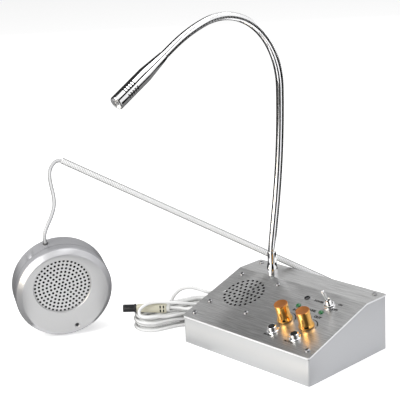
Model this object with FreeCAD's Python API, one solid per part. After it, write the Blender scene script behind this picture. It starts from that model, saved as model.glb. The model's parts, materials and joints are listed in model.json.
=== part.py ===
import FreeCAD, Part
import math
import os

# Teller window intercom: a sloped desk unit with a loudspeaker, two volume knobs, two mute
# buttons, a power toggle and a gooseneck microphone, a round speaker for the customer's side
# on an armoured conduit, and a thin power lead wound into a hank beside the unit.
# Millimetres. X runs to the right along the front edge, Y to the back, Z up.
# The origin is the centre of the desk unit's underside.

Vector = FreeCAD.Vector
Placement = FreeCAD.Placement
Rotation = FreeCAD.Rotation
X_AXIS = Vector(1, 0, 0)
Y_AXIS = Vector(0, 1, 0)
Z_AXIS = Vector(0, 0, 1)
ORIGIN = Vector(0, 0, 0)

# Desk unit
unit_width = 180.0
unit_depth = 126.0
front_height = 31.2
back_height = 61.0
strip_depth = 33.6
corner_radius = 2.5
sheet = 1.2
lip_width = 5.5
foot_lip_width = 9.0
corner_tab = 15.0
base_sheet = 1.5
base_clearance = 0.3
overrun = 4.0

# Top plate
plate_sheet = 1.8
plate_overhang = 0.6
plate_corner_radius = 3.0
bend_radius = 2.4
corner_screw_inset = 9.0
corner_screw_rise = 9.4
strip_screw_inset = 8.5

# Pan head screws of the top plate and the loudspeaker
screw_radius = 1.5
screw_clearance = 0.15
screw_length = 8.0
pan_head_radius = 2.9
pan_head_height = 1.7
slot_width = 0.8
slot_depth = 0.8
nut_width = 5.5
nut_height = 2.4

# Countersunk screws of the base plate
base_screw_inset = 5.6
base_head_radius = 2.8
base_screw_length = 7.0

# Loudspeaker of the desk unit
speaker_side_gap = 7.0
speaker_front_gap = 28.1
speaker_back_gap = 5.8
speaker_ring_pitch = 5.6
speaker_hole_radius = 1.4
speaker_screw_inset = 4.3
speaker_ear_radius = 4.6
speaker_flange = 1.2
gasket_height = 1.5
gasket_width = 4.0
basket_depth = 14.0
basket_foot_radius = 19.0
basket_sheet = 0.8
basket_window_width = 17.0
magnet_radius = 20.0
magnet_height = 8.0
yoke_radius = 17.5
yoke_height = 2.5
cone_sheet = 0.5
cone_depth = 10.0
voice_coil_radius = 9.5
dust_cap_rise = 3.2

# Volume controls
volume_insets = {"inside": 65.2, "outside": 35.5}
volume_rise_share = 0.4202
pot_body_width = 16.0
pot_body_height = 8.5
bushing_radius = 3.4
bushing_height = 4.0
shaft_radius = 3.0
shaft_height = 16.5
running_clearance = 0.06
pot_nut_width = 10.0
pot_nut_height = 2.0
panel_gap = 0.5
knob_height = 20.3
knob_top_radius = 7.45
knob_waist_radius = 7.2
knob_waist_height = 7.2
knob_foot_radius = 8.5
knob_foot_height = 1.2
knob_edge = 0.5
knob_recess_radius = 6.2
knob_recess_height = 4.4

# Mute buttons
mute_insets = {"inside": 65.0, "outside": 34.5}
mute_rise_share = 0.2112
mute_radius = 4.7
mute_height = 5.6
mute_edge = 0.9
mute_travel = 1.8
mute_stem = 5.0
mute_bush_radius = 5.6
mute_flange_radius = 6.3
mute_flange_height = 1.1
mute_bush_depth = 8.0
mute_box_width = 12.6
mute_box_depth = 7.0

# Power toggle
toggle_inset = 34.2
toggle_rise_share = 0.7983
toggle_box_width = 8.0
toggle_box_length = 13.0
toggle_box_depth = 9.5
toggle_bush_radius = 3.2
toggle_bush_height = 8.6
toggle_bore_radius = 2.5
toggle_nut_width = 10.8
toggle_nut_height = 2.6
toggle_washer_radius = 6.4
toggle_washer_height = 0.7
toggle_lever_length = 18.2
toggle_lever_tip_radius = 1.75
toggle_lever_neck_radius = 1.45
toggle_ball_radius = 1.9
toggle_ball_height = 5.0
toggle_lean = 13.0
toggle_terminal_depth = 3.5
toggle_terminal_width = 2.0
toggle_terminal_sheet = 0.8
toggle_terminal_pitch = 4.7

# Indicator lamps
talk_lamp_insets = {"inside": 66.8, "outside": 35.8}
talk_lamp_rise_share = 0.6726
lamp_radius = 3.0
lamp_clearance = 0.05
lamp_dome_height = 1.8
lamp_flange_radius = 3.5
lamp_flange_height = 1.0
lamp_body_height = 5.0
power_lamp_inset = 66.4
power_lamp_rise_share = 0.824
power_bezel_radius = 3.3
power_bezel_height = 0.7
power_bezel_bore = 2.2
power_bezel_nut_height = 2.0

# Circuit board
board_inset = 52.0
board_from_front = 57.0
board_width = 78.0
board_depth = 78.0
board_sheet = 1.6
board_height = 9.0
board_hole_inset = 4.0
standoff_width = 5.0
board_screw_length = 5.0
can_radius = 4.0
can_height = 11.0
can_edge = 0.8
chip_width = 16.0
chip_depth = 7.0
chip_height = 3.4
socket_width = 7.0
socket_depth = 12.0
socket_height = 7.0
sink_width = 22.0
sink_depth = 9.0
sink_height = 14.0
sink_fins = 5
can_shares = [(-0.72, 0.55), (-0.72, 0.15), (-0.4, 0.62)]
chip_shares = [(0.0, 0.1), (0.1, -0.35)]
socket_shares = [(-0.75, -0.35), (0.75, 0.5), (0.75, 0.0)]

# Gooseneck and its ferrule
neck_inset = 41.4
neck_from_back = 25.3
neck_radius = 4.3
neck_bore_radius = 2.2
neck_rib_pitch = 2.3
neck_rib_depth = 0.55
neck_rib_shares = (0.0, 0.2, 0.6, 0.8)
neck_base_height = 87.0
neck_foot_radius = 30.0
neck_lean = 10.39
neck_straight = 40.0
neck_first_radius = 813.0
neck_first_sweep = 9.62
neck_second_radius = 86.3
neck_second_sweep = 105.17
neck_third_radius = 186.65
neck_third_sweep = 15.48
neck_end_straight = 13.61
neck_low_flex_start = 26.0
neck_low_flex_length = 16.0
neck_mid_flex_length = 18.0
neck_mic_flex_length = 16.5
ferrule_foot_radius = 6.6
ferrule_foot_height = 6.0
ferrule_cone_top = 13.0
ferrule_top_radius = 5.0
ferrule_clearance = 0.1
ferrule_tail = 8.0
ferrule_tail_radius = 5.0
locknut_width = 14.0
locknut_height = 2.6

# Microphone
mic_length = 73.1
mic_front_radius = 7.35
mic_rear_radius = 4.7
mic_taper_length = 30.0
mic_wall = 1.1
mic_edge = 1.0
mic_socket_depth = 6.0
mic_slot_rows = 5
mic_slot_columns = 6
mic_slot_width = 1.5
mic_slot_pitch = 3.2
mic_slot_span = 34.0
mic_slot_from_tip = 19.0
mic_slot_turn = 0.0
mic_insert_clearance = 0.05
mic_insert_length = 34.0
mic_insert_from_tip = 2.0
mic_grille_holes = 6
mic_grille_hole_radius = 0.9
mic_grille_pitch_radius = 3.4

# Conduit to the customer's speaker and its gland
gland_inset = 49.6
gland_height = 15.85
gland_hex_width = 16.0
gland_hex_height = 4.0
gland_dome_radius = 7.5
gland_length = 11.0
gland_thread_radius = 5.0
gland_thread_length = 7.0
conduit_radius = 3.5
conduit_bore_radius = 2.5
conduit_bend_distance = 63.4
conduit_bend_radius = 27.0
conduit_length = 402.4
conduit_heading = 216.0
conduit_climb = 25.12
conduit_grip = 5.0
lead_grip = 9.0
lead_overshoot = 2.8
lead_run_in = 6.0

# Customer's speaker: a round housing leaning on its lower rim
disc_x = -202.8
disc_y = -137.5
disc_heading = -27.4
disc_tilt = -7.8
disc_roll = 15.3
disc_radius = 54.3
disc_depth = 31.0
disc_shoulder = 6.9
disc_face_radius = 48.4
disc_face_edge = 0.8
disc_wall = 2.0
disc_back_edge = 2.5
disc_joint_gap = 0.3
disc_front_skirt = 9.0
grille_offset = 10.7
grille_radius = 31.8
grille_sheet = 0.6
grille_recess = 0.9
grille_flange = 2.6
grille_rings = 7
grille_ring_pitch = 4.33
grille_hole_radius = 1.2
talk_hole_offset = 42.1
talk_hole_radius = 2.1
talk_capsule_radius = 3.0
talk_capsule_height = 4.0
disc_driver_radius = 32.0
disc_driver_depth = 10.0
disc_driver_foot_radius = 17.0
disc_magnet_radius = 15.0
disc_magnet_height = 6.0
disc_cone_depth = 7.0
disc_coil_radius = 8.0
disc_screw_offset = 44.0
disc_screw_angles = (25.0, 155.0, 235.0, 305.0)
disc_spigot_height = 3.0
disc_boss_radius = 3.4
grommet_depth = 19.0
grommet_radius = 2.9
grommet_flange_radius = 3.5
grommet_flange_height = 0.9
grommet_groove = 2.0

# Leads
lead_radius = 1.9
speaker_lead_radius = 1.95
power_gland_inset = 28.0
power_gland_height = 34.0
power_gland_radius = 4.4
power_gland_flange_radius = 6.0
power_gland_flange_height = 2.0
power_gland_length = 9.0
power_gland_tip_radius = 3.0

# Hank of the power lead, lying on the desk beside the unit
hank_x = -143.5
hank_y = -26.4
hank_heading = 72.0
hank_half_run = 30.0
hank_outer_offset = 20.0
hank_pitch = 4.4
hank_turns_per_layer = 2
hank_layers = 4
hank_floor_clearance = 0.1
hank_lead_in = 16.0

# Plug on the end of the power lead
plug_x = -162.7
plug_y = -69.1
plug_height = 23.2
plug_heading = 42.0
plug_body_length = 35.6
plug_body_width = 11.6
plug_body_thickness = 9.6
plug_nose_length = 4.0
plug_nose_radius = 4.6
plug_nose_flat = 0.2
plug_swell_shares = (0.93, 0.96)
plug_grip_length = 11.2
plug_groove = 1.2
plug_groove_depth = 0.7
plug_groove_gap = 2.5
plug_groove_shares = (0.08, 0.36)
plug_band_length = 3.2
plug_band_radius = 4.4
plug_barrel_length = 14.5
plug_barrel_radius = 4.3
plug_barrel_flange_radius = 5.0
plug_barrel_flange_length = 1.6
plug_barrel_bore = 2.75
plug_pin_radius = 1.0
plug_rib_count = 12
plug_rib_depth = 0.35

# Routes of the leads, points chosen by hand
speaker_lead_route = [
    (-257.8, -97.2, 185.8),
    (-257.0, -103.8, 179.4),
    (-252.3, -108.8, 172.0),
    (-243.8, -113.6, 164.2),
    (-235.0, -117.8, 156.4),
    (-226.4, -123.6, 147.4),
    (-220.8, -132.6, 138.0),
    (-219.6, -142.4, 126.6),
]
power_lead_route = [
    (-62.0, 88.0, 34.0),
    (-68.0, 101.0, 34.0),
    (-81.0, 107.0, 33.8),
    (-95.0, 101.0, 33.6),
    (-103.0, 86.0, 33.2),
    (-106.0, 66.0, 32.6),
    (-106.0, 44.0, 32.0),
    (-106.5, 22.0, 32.0),
    (-108.9, -3.2, 34.0),
    (-127.9, -8.0, 38.0),
    (-135.7, -14.3, 38.5),
    (-143.7, -18.3, 35.0),
    (-148.8, -22.8, 28.0),
    (-149.7, -26.9, 21.5),
    (-147.0, -35.5, 19.6),
    (-137.5, -38.0, 19.5),
    (-127.0, -33.5, 19.4),
    (-119.0, -24.0, 19.4),
    (-117.0, -11.0, 19.4),
    (-119.5, 3.0, 19.4),
    (-120.0, 17.0, 19.8),
    (-116.3, 26.0, 20.2),
    (-107.2, 29.8, 20.8),
    (-98.2, 26.0, 21.4),
    (-94.4, 16.0, 22.2),
    (-97.0, 1.0, 23.6),
    (-112.4, -21.6, 25.6),
    (-119.9, -33.1, 28.6),
    (-127.1, -44.1, 31.4),
    (-142.5, -55.4, 31.8),
    (-149.1, -65.2, 30.4),
    (-153.2, -72.9, 24.6),
    (-149.2, -76.4, 19.2),
    (-139.4, -74.9, 19.2),
    (-133.8, -65.1, 19.1),
]
plug_lead_route = [
    (-116.5, -26.0, 2.0),
    (-103.5, -17.0, 2.6),
    (-96.5, -2.0, 5.0),
    (-96.0, 15.0, 8.5),
    (-102.0, 30.0, 12.5),
    (-113.5, 37.5, 16.0),
    (-124.0, 32.0, 19.2),
    (-128.0, 19.0, 20.6),
    (-124.0, 7.0, 21.8),
    (-115.5, -4.5, 25.4),
    (-107.5, -12.5, 29.8),
    (-99.5, -20.0, 31.4),
    (-96.2, -30.0, 30.0),
    (-104.5, -38.0, 27.4),
    (-115.0, -38.4, 24.8),
]

slope = math.degrees(math.atan2(back_height - front_height, unit_depth - strip_depth))
bend_y = unit_depth / 2 - strip_depth
front_y = -unit_depth / 2
back_y = unit_depth / 2
right_x = unit_width / 2
slope_length = math.hypot(unit_depth - strip_depth, back_height - front_height)

# The loudspeaker fills the panel between its gaps; the controls keep their columns and their share
# of the slope
speaker_radius = (slope_length - speaker_front_gap - speaker_back_gap) / 2
speaker_x = speaker_side_gap + speaker_radius - unit_width / 2
speaker_rise = speaker_front_gap + speaker_radius
speaker_screw_spacing = 2 * (speaker_radius - speaker_screw_inset)
speaker_rings = int((speaker_radius - gasket_width - speaker_hole_radius) / speaker_ring_pitch)
volume_xs = {side: right_x - inset for side, inset in volume_insets.items()}
volume_rise = slope_length * volume_rise_share
mute_xs = {side: right_x - inset for side, inset in mute_insets.items()}
mute_rise = slope_length * mute_rise_share
toggle_x = right_x - toggle_inset
toggle_rise = slope_length * toggle_rise_share
talk_lamps = {side: right_x - inset for side, inset in talk_lamp_insets.items()}
talk_lamp_rise = slope_length * talk_lamp_rise_share
power_lamp_x = right_x - power_lamp_inset
power_lamp_rise = slope_length * power_lamp_rise_share
board_x = right_x - board_inset
board_y = front_y + board_from_front
neck_x = neck_inset - right_x
gland_x = right_x - gland_inset
power_gland_x = power_gland_inset - right_x
speaker_front = plate_sheet + gasket_height
spring_base = base_sheet + sheet


def write(name, shape):
    """Save one piece as its own file."""
    os.makedirs("parts", exist_ok=True)
    shape.exportStep("parts/" + name + ".step")


def block(x0, x1, y0, y1, z0, z1):
    return Part.makeBox(x1 - x0, y1 - y0, z1 - z0, Vector(x0, y0, z0))


def rod(radius, z0, z1, x=0.0, y=0.0):
    return Part.makeCylinder(radius, z1 - z0, Vector(x, y, z0), Z_AXIS)


def tube(outer, inner, z0, z1, x=0.0, y=0.0):
    return rod(outer, z0, z1, x, y).cut(rod(inner, z0 - overrun, z1 + overrun, x, y))


def hexagon(across_flats, z0, z1, x=0.0, y=0.0):
    corner = across_flats / math.sqrt(3)
    ring = []
    for i in range(7):
        angle = math.radians(60 * i)
        ring.append(Vector(x + corner * math.cos(angle), y + corner * math.sin(angle), z0))
    return Part.Face(Part.makePolygon(ring)).extrude(Vector(0, 0, z1 - z0))


def turned(outline, x=0.0, y=0.0):
    """Revolve an outline of (radius, height) points about the vertical line at x, y."""
    points = [Vector(x + r, y, z) for r, z in outline]
    face = Part.Face(Part.makePolygon(points + points[:1]))
    return face.revolve(Vector(x, y, 0), Z_AXIS, 360)


def fillet_at_height(shape, radius, height):
    """Round every edge that lies wholly at one height."""
    edges = []
    for edge in shape.Edges:
        box = edge.BoundBox
        if abs(box.ZMin - height) < 0.01 and abs(box.ZMax - height) < 0.01:
            edges.append(edge)
    return shape.makeFillet(radius, edges)


def rounded_prism(width, depth, radius, z0, z1):
    """An upright prism about the origin, with round vertical edges."""
    x, y = width / 2, depth / 2
    core = block(-x, x, -y + radius, y - radius, z0, z1)
    core = core.fuse(block(-x + radius, x - radius, -y, y, z0, z1))
    for cx in (-x + radius, x - radius):
        for cy in (-y + radius, y - radius):
            core = core.fuse(rod(radius, z0, z1, cx, cy))
    return core.removeSplitter()


def on_panel(shape, x, rise):
    """Stand a piece on the sloped panel: its own Z becomes the panel's normal."""
    angle = math.radians(slope)
    foot = Vector(x, front_y + rise * math.cos(angle), front_height + rise * math.sin(angle))
    placed = shape.copy()
    placed.Placement = Placement(foot, Rotation(X_AXIS, slope)).multiply(placed.Placement)
    return placed


def roof(drop, front, back):
    """Outline points of the top surfaces, moved down square to themselves by drop."""
    angle = math.radians(slope)
    knee = bend_y + drop * math.tan(angle / 2)
    front_z = back_height - drop - (knee - front) * math.tan(angle)
    return [(front, front_z), (knee, back_height - drop), (back, back_height - drop)]


def wedge(drop, inset, bottom):
    """The unit's wedge, moved in from its sides by inset and from its top by drop."""
    front, back = front_y + inset, back_y - inset
    outline = [(front, bottom)] + roof(drop, front, back) + [(back, bottom)]
    half = right_x - inset
    points = [Vector(-half, y, z) for y, z in outline]
    face = Part.Face(Part.makePolygon(points + points[:1]))
    return face.extrude(Vector(2 * half, 0, 0))


def panel_screw_places():
    """Corner screws on the slope as (x, rise), then those on the flat strip as (x, y)."""
    x = right_x - corner_screw_inset
    slope_places = [(-x, corner_screw_rise), (x, corner_screw_rise)]
    strip_places = [(-x, back_y - strip_screw_inset), (x, back_y - strip_screw_inset)]
    return slope_places, strip_places


def speaker_screw_places():
    half = speaker_screw_spacing / 2
    places = []
    for dx in (-half, half):
        for dy in (-half, half):
            places.append((speaker_x + dx, speaker_rise + dy))
    return places


def case_shell():
    """Folded wedge with lips for the top plate and the base plate."""
    reach = back_height + overrun
    body = wedge(plate_sheet, 0.0, 0.0)
    body = body.common(rounded_prism(unit_width, unit_depth, corner_radius, 0.0, reach))
    body = body.cut(wedge(plate_sheet + sheet, sheet, spring_base))
    body = body.cut(base_outline(0.0, 0.0, base_sheet))
    # The window under the top plate keeps a lip and four corner tabs
    inner_x = right_x - sheet - lip_width
    inner_y = back_y - sheet - lip_width
    window = block(-inner_x, inner_x, -inner_y, inner_y, spring_base + sheet, reach)
    tab = corner_tab - lip_width
    for x0 in (-inner_x, inner_x - tab):
        for y0 in (-inner_y, inner_y - tab):
            window = window.cut(block(x0, x0 + tab, y0, y0 + tab, spring_base, reach))
    body = body.cut(window)
    # The window over the base plate keeps a wider lip
    low_x = right_x - sheet - foot_lip_width
    low_y = back_y - sheet - foot_lip_width
    body = body.cut(block(-low_x, low_x, -low_y, low_y, -overrun, spring_base + overrun))
    holes = []
    shank = screw_radius + screw_clearance
    slope_places, strip_places = panel_screw_places()
    for x, rise in slope_places:
        holes.append(on_panel(rod(shank, -screw_length, overrun), x, rise))
    for x, y in strip_places:
        holes.append(rod(shank, back_height - screw_length, reach, x, y))
    for x, y in base_screw_places():
        holes.append(rod(shank, -overrun, base_screw_length + overrun, x, y))
    gland_hole = gland_thread_radius + screw_clearance
    holes.append(wall_rod(gland_hole, -2 * sheet, overrun, gland_x, gland_height))
    holes.append(wall_rod(power_gland_radius, -2 * sheet, overrun, power_gland_x, power_gland_height))
    write("case_shell", body.cut(Part.makeCompound(holes)))


def wall_rod(radius, out0, out1, x, z):
    """A cylinder square to the back wall, between two distances from its outer face."""
    return Part.makeCylinder(radius, out1 - out0, Vector(x, back_y + out0, z), Y_AXIS)


def on_wall(shape, x, z):
    """Stand a piece on the back wall: its own Z points out of the wall."""
    placed = shape.copy()
    stand = Placement(Vector(x, back_y, z), Rotation(X_AXIS, -90))
    placed.Placement = stand.multiply(placed.Placement)
    return placed


def base_outline(clearance, z0, z1):
    inset = 2 * (sheet + clearance)
    radius = corner_radius - sheet
    return rounded_prism(unit_width - inset, unit_depth - inset, radius, z0, z1)


def base_screw_places():
    x = right_x - sheet - base_screw_inset
    y = back_y - sheet - base_screw_inset
    return [(-x, -y), (x, -y), (-x, y), (x, y)]


def base_plate():
    plate = base_outline(base_clearance, 0.0, base_sheet)
    cuts = []
    for x, y in base_screw_places():
        cuts.append(rod(screw_radius + screw_clearance, -overrun, base_sheet + overrun, x, y))
        top_radius = screw_radius + screw_clearance
        head = Part.makeCone(base_head_radius + screw_clearance, top_radius, base_sheet, Vector(x, y, 0))
        cuts.append(head)
    write("base_plate", plate.cut(Part.makeCompound(cuts)))


def base_screws():
    screws = []
    for x, y in base_screw_places():
        head = Part.makeCone(base_head_radius, screw_radius, base_sheet, Vector(x, y, 0))
        slot = block(x - base_head_radius, x + base_head_radius, y - slot_width / 2, y + slot_width / 2,
                     0.0, slot_depth)
        screws.append(head.fuse(rod(screw_radius, base_sheet, base_screw_length, x, y)).cut(slot))
    write("base_screws", Part.makeCompound(screws))


def ring_places(rings, pitch):
    """Hole centres of a perforated field: one, then six more on each ring outwards."""
    places = [(0.0, 0.0)]
    for ring in range(1, rings + 1):
        for i in range(6 * ring):
            angle = 2 * math.pi * i / (6 * ring)
            places.append((ring * pitch * math.cos(angle), ring * pitch * math.sin(angle)))
    return places


def panel_hole(radius, x, rise):
    return on_panel(rod(radius, -plate_sheet - overrun, overrun), x, rise)


def top_plate():
    """Brushed plate, bent once, with every opening of the panel."""
    front, back = front_y - plate_overhang, back_y + plate_overhang
    half = right_x + plate_overhang
    upper = roof(0.0, front, back)
    lower = roof(plate_sheet, front, back)
    points = [Vector(-half, y, z) for y, z in upper + lower[::-1]]
    plate = Part.Face(Part.makePolygon(points + points[:1])).extrude(Vector(2 * half, 0, 0))
    knees = []
    for edge in plate.Edges:
        middle = edge.BoundBox.Center
        is_long = edge.BoundBox.XLength > half
        if is_long and abs(middle.y - bend_y) < plate_sheet:
            knees.append(edge)
    outer_knee = max(knees, key=lambda edge: edge.BoundBox.Center.z)
    plate = plate.makeFillet(bend_radius + plate_sheet, [outer_knee])
    width = unit_width + 2 * plate_overhang
    depth = unit_depth + 2 * plate_overhang
    reach = back_height + overrun
    plate = plate.common(rounded_prism(width, depth, plate_corner_radius, 0.0, reach))
    shank = screw_radius + screw_clearance
    holes = []
    for dx, dy in ring_places(speaker_rings, speaker_ring_pitch):
        holes.append(panel_hole(speaker_hole_radius, speaker_x + dx, speaker_rise + dy))
    slope_places, strip_places = panel_screw_places()
    for x, rise in slope_places + speaker_screw_places():
        holes.append(panel_hole(shank, x, rise))
    for x, y in strip_places:
        holes.append(rod(shank, back_height - plate_sheet - overrun, reach, x, y))
    for x in volume_xs.values():
        holes.append(panel_hole(bushing_radius + screw_clearance, x, volume_rise))
    for x in mute_xs.values():
        holes.append(panel_hole(mute_bush_radius + screw_clearance, x, mute_rise))
    for x in talk_lamps.values():
        holes.append(panel_hole(lamp_radius + lamp_clearance, x, talk_lamp_rise))
    holes.append(panel_hole(toggle_bush_radius + screw_clearance, toggle_x, toggle_rise))
    holes.append(panel_hole(power_bezel_bore + lamp_clearance + panel_gap, power_lamp_x, power_lamp_rise))
    neck_hole = ferrule_tail_radius + screw_clearance
    holes.append(rod(neck_hole, back_height - plate_sheet - overrun, reach, neck_x, neck_y()))
    write("top_plate", plate.cut(Part.makeCompound(holes)))


def neck_y():
    return back_y - neck_from_back


def pan_screw(length):
    """Pan head screw with a straight slot; its head sits on Z = 0."""
    head = rod(pan_head_radius, 0.0, pan_head_height)
    head = fillet_at_height(head, pan_head_height * 0.45, pan_head_height)
    slot = block(-pan_head_radius, pan_head_radius, -slot_width / 2, slot_width / 2,
                 pan_head_height - slot_depth, pan_head_height)
    return head.fuse(rod(screw_radius, -length, 0.0)).cut(slot)


def panel_screws():
    screws = []
    slope_places, strip_places = panel_screw_places()
    for x, rise in slope_places + speaker_screw_places():
        screws.append(on_panel(pan_screw(screw_length), x, rise))
    for x, y in strip_places:
        screw = pan_screw(screw_length)
        screw.Placement = Placement(Vector(x, y, back_height), Rotation(Z_AXIS, 40))
        screws.append(screw)
    write("panel_screws", Part.makeCompound(screws))


def speaker_ears(radius, z0, z1):
    """Round ears at the screws, joined to the flange ring by arms."""
    half = speaker_screw_spacing / 2
    ears = []
    for dx in (-half, half):
        for dy in (-half, half):
            ear = rod(radius, z0, z1, dx, dy)
            arm = block(0, math.hypot(half, half), -radius, radius, z0, z1)
            arm.rotate(ORIGIN, Z_AXIS, math.degrees(math.atan2(dy, dx)))
            ears.append(ear)
            ears.append(arm)
    return ears


def loudspeaker():
    """Small round loudspeaker under the perforated field, held by four screws and nuts."""
    inner = speaker_radius - gasket_width
    gasket = tube(speaker_radius - panel_gap, inner, -speaker_front, -plate_sheet)
    write("loudspeaker_gasket", on_panel(gasket, speaker_x, speaker_rise))

    top = -speaker_front
    under = top - speaker_flange
    floor = top - basket_depth
    flange = rod(speaker_radius, under, top)
    for ear in speaker_ears(speaker_ear_radius, under, top):
        flange = flange.fuse(ear)
    half = speaker_screw_spacing / 2
    flange = flange.cut(rod(inner, under - overrun, top + overrun))
    for dx in (-half, half):
        for dy in (-half, half):
            flange = flange.cut(rod(screw_radius + screw_clearance, under - overrun, top + overrun, dx, dy))
    basket = turned([
        (inner, top), (inner + basket_sheet, under), (basket_foot_radius + basket_sheet, floor),
        (voice_coil_radius + basket_sheet, floor), (voice_coil_radius + basket_sheet, floor + basket_sheet),
        (basket_foot_radius, floor + basket_sheet), (inner - basket_sheet, under),
        (inner - basket_sheet, top),
    ])
    window_z0 = floor + 2 * basket_sheet
    window_z1 = under - 2 * basket_sheet
    for i in range(4):
        window = block(0, speaker_radius + overrun, -basket_window_width / 2, basket_window_width / 2,
                       window_z0, window_z1)
        window.rotate(ORIGIN, Z_AXIS, 45 + 90 * i + 45)
        basket = basket.cut(window)
    frame = flange.fuse(basket).removeSplitter()
    write("loudspeaker_frame", on_panel(frame, speaker_x, speaker_rise))

    rim = inner - basket_sheet
    cone_top = top - cone_sheet
    cone = turned([
        (rim, top), (rim - gasket_width / 2, top + cone_sheet), (rim - gasket_width, cone_top),
        (voice_coil_radius, top - cone_depth), (voice_coil_radius / 2, top - cone_depth + dust_cap_rise * 0.8),
        (0, top - cone_depth + dust_cap_rise), (0, top - cone_depth + dust_cap_rise - cone_sheet),
        (voice_coil_radius / 2, top - cone_depth + dust_cap_rise * 0.8 - cone_sheet),
        (voice_coil_radius - cone_sheet, top - cone_depth - cone_sheet),
        (voice_coil_radius - cone_sheet, floor - cone_sheet), (voice_coil_radius, floor - cone_sheet),
        (voice_coil_radius, top - cone_depth - cone_sheet), (rim - gasket_width, cone_top - cone_sheet),
        (rim - gasket_width / 2, top), (rim, top - cone_sheet),
    ])
    write("loudspeaker_cone", on_panel(cone, speaker_x, speaker_rise))

    pole = voice_coil_radius - 2 * cone_sheet
    magnet = tube(magnet_radius, voice_coil_radius + cone_sheet, floor - magnet_height, floor)
    yoke = rod(yoke_radius, floor - magnet_height - yoke_height, floor - magnet_height)
    pole_piece = rod(pole, floor - magnet_height, floor)
    write("loudspeaker_magnet", on_panel(magnet.fuse(yoke).fuse(pole_piece), speaker_x, speaker_rise))

    nuts = []
    for x, rise in speaker_screw_places():
        nut = hexagon(nut_width, under - nut_height, under)
        nut = nut.cut(rod(screw_radius, under - nut_height - overrun, under + overrun))
        nuts.append(on_panel(nut, x, rise))
    write("loudspeaker_nuts", Part.makeCompound(nuts))


def volume_control(side):
    """Potentiometer under the plate, with its bushing and nut, and the turning shaft and knob."""
    x = volume_xs[side]
    half = pot_body_width / 2
    below = -plate_sheet
    floor = below - pot_body_height
    body = block(-half, half, -half, half, floor, below)
    body = body.fuse(rod(bushing_radius, below, bushing_height))
    bore = shaft_radius + running_clearance
    shaft_foot = floor + pot_body_height / 4
    body = body.cut(rod(bore, shaft_foot, bushing_height + overrun))
    for i in (-1, 0, 1):
        pin = block(i * half / 2 - slot_width / 2, i * half / 2 + slot_width / 2,
                    -half - nut_height, -half, floor + slot_width, floor + 2 * slot_width)
        body = body.fuse(pin)
    write(side + "_volume_pot", on_panel(body, x, volume_rise))

    shaft = rod(shaft_radius, shaft_foot, shaft_height)
    write(side + "_volume_shaft", on_panel(shaft, x, volume_rise))

    upper = knob_height - knob_edge
    slim = knob_waist_radius
    outline = [
        (0, panel_gap), (knob_foot_radius - knob_edge, panel_gap), (knob_foot_radius, panel_gap + knob_edge),
        (knob_foot_radius, panel_gap + knob_foot_height),
    ]
    flare_steps = 4
    for i in range(1, flare_steps + 1):
        share = i / flare_steps
        ease = 1 - math.sin(share * math.pi / 2)
        radius = slim + (knob_foot_radius - slim) * ease
        outline.append((radius, panel_gap + knob_foot_height + (knob_waist_height - knob_foot_height) * share))
    outline += [(knob_top_radius, upper), (knob_top_radius - knob_edge, knob_height), (0, knob_height)]
    knob = turned(outline)
    recess = rod(knob_recess_radius, panel_gap - overrun, knob_recess_height)
    index = block(knob_top_radius - 2 * knob_edge, knob_top_radius + overrun, -slot_width / 2, slot_width / 2,
                  knob_waist_height, knob_height + overrun)
    index.rotate(ORIGIN, Z_AXIS, 120)
    knob = knob.cut(recess).cut(rod(shaft_radius, 0.0, shaft_height)).cut(index)
    write(side + "_volume_knob", on_panel(knob, x, volume_rise))


def volume_nuts():
    nuts = []
    for x in volume_xs.values():
        nut = hexagon(pot_nut_width, 0.0, pot_nut_height)
        nut = nut.cut(rod(bushing_radius, -overrun, pot_nut_height + overrun))
        nuts.append(on_panel(nut, x, volume_rise))
    write("volume_pot_nuts", Part.makeCompound(nuts))


def mute_button(side):
    """Round push button in a bright bushing, over its switch box."""
    x = mute_xs[side]
    bore = mute_radius + running_clearance
    depth = -plate_sheet - mute_bush_depth
    half = mute_box_width / 2
    body = rod(mute_flange_radius, 0.0, mute_flange_height)
    body = fillet_at_height(body, mute_flange_height * 0.4, mute_flange_height)
    body = body.fuse(rod(mute_bush_radius, depth, 0.0))
    body = body.cut(rod(bore, depth, mute_flange_height + overrun))
    body = body.fuse(block(-half, half, -half, half, depth - mute_box_depth, depth))
    for i in (-1, 1):
        pin = block(i * half / 2 - slot_width / 2, i * half / 2 + slot_width / 2, -slot_width, slot_width,
                    depth - mute_box_depth - nut_height, depth - mute_box_depth)
        body = body.fuse(pin)
    write(side + "_mute_switch", on_panel(body, x, mute_rise))

    cap = rod(mute_radius, -mute_stem, mute_height)
    cap = fillet_at_height(cap, mute_edge, mute_height)
    write(side + "_mute_button", on_panel(cap, x, mute_rise))


def toggle_place(shape):
    return on_panel(shape, toggle_x, toggle_rise)


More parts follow.
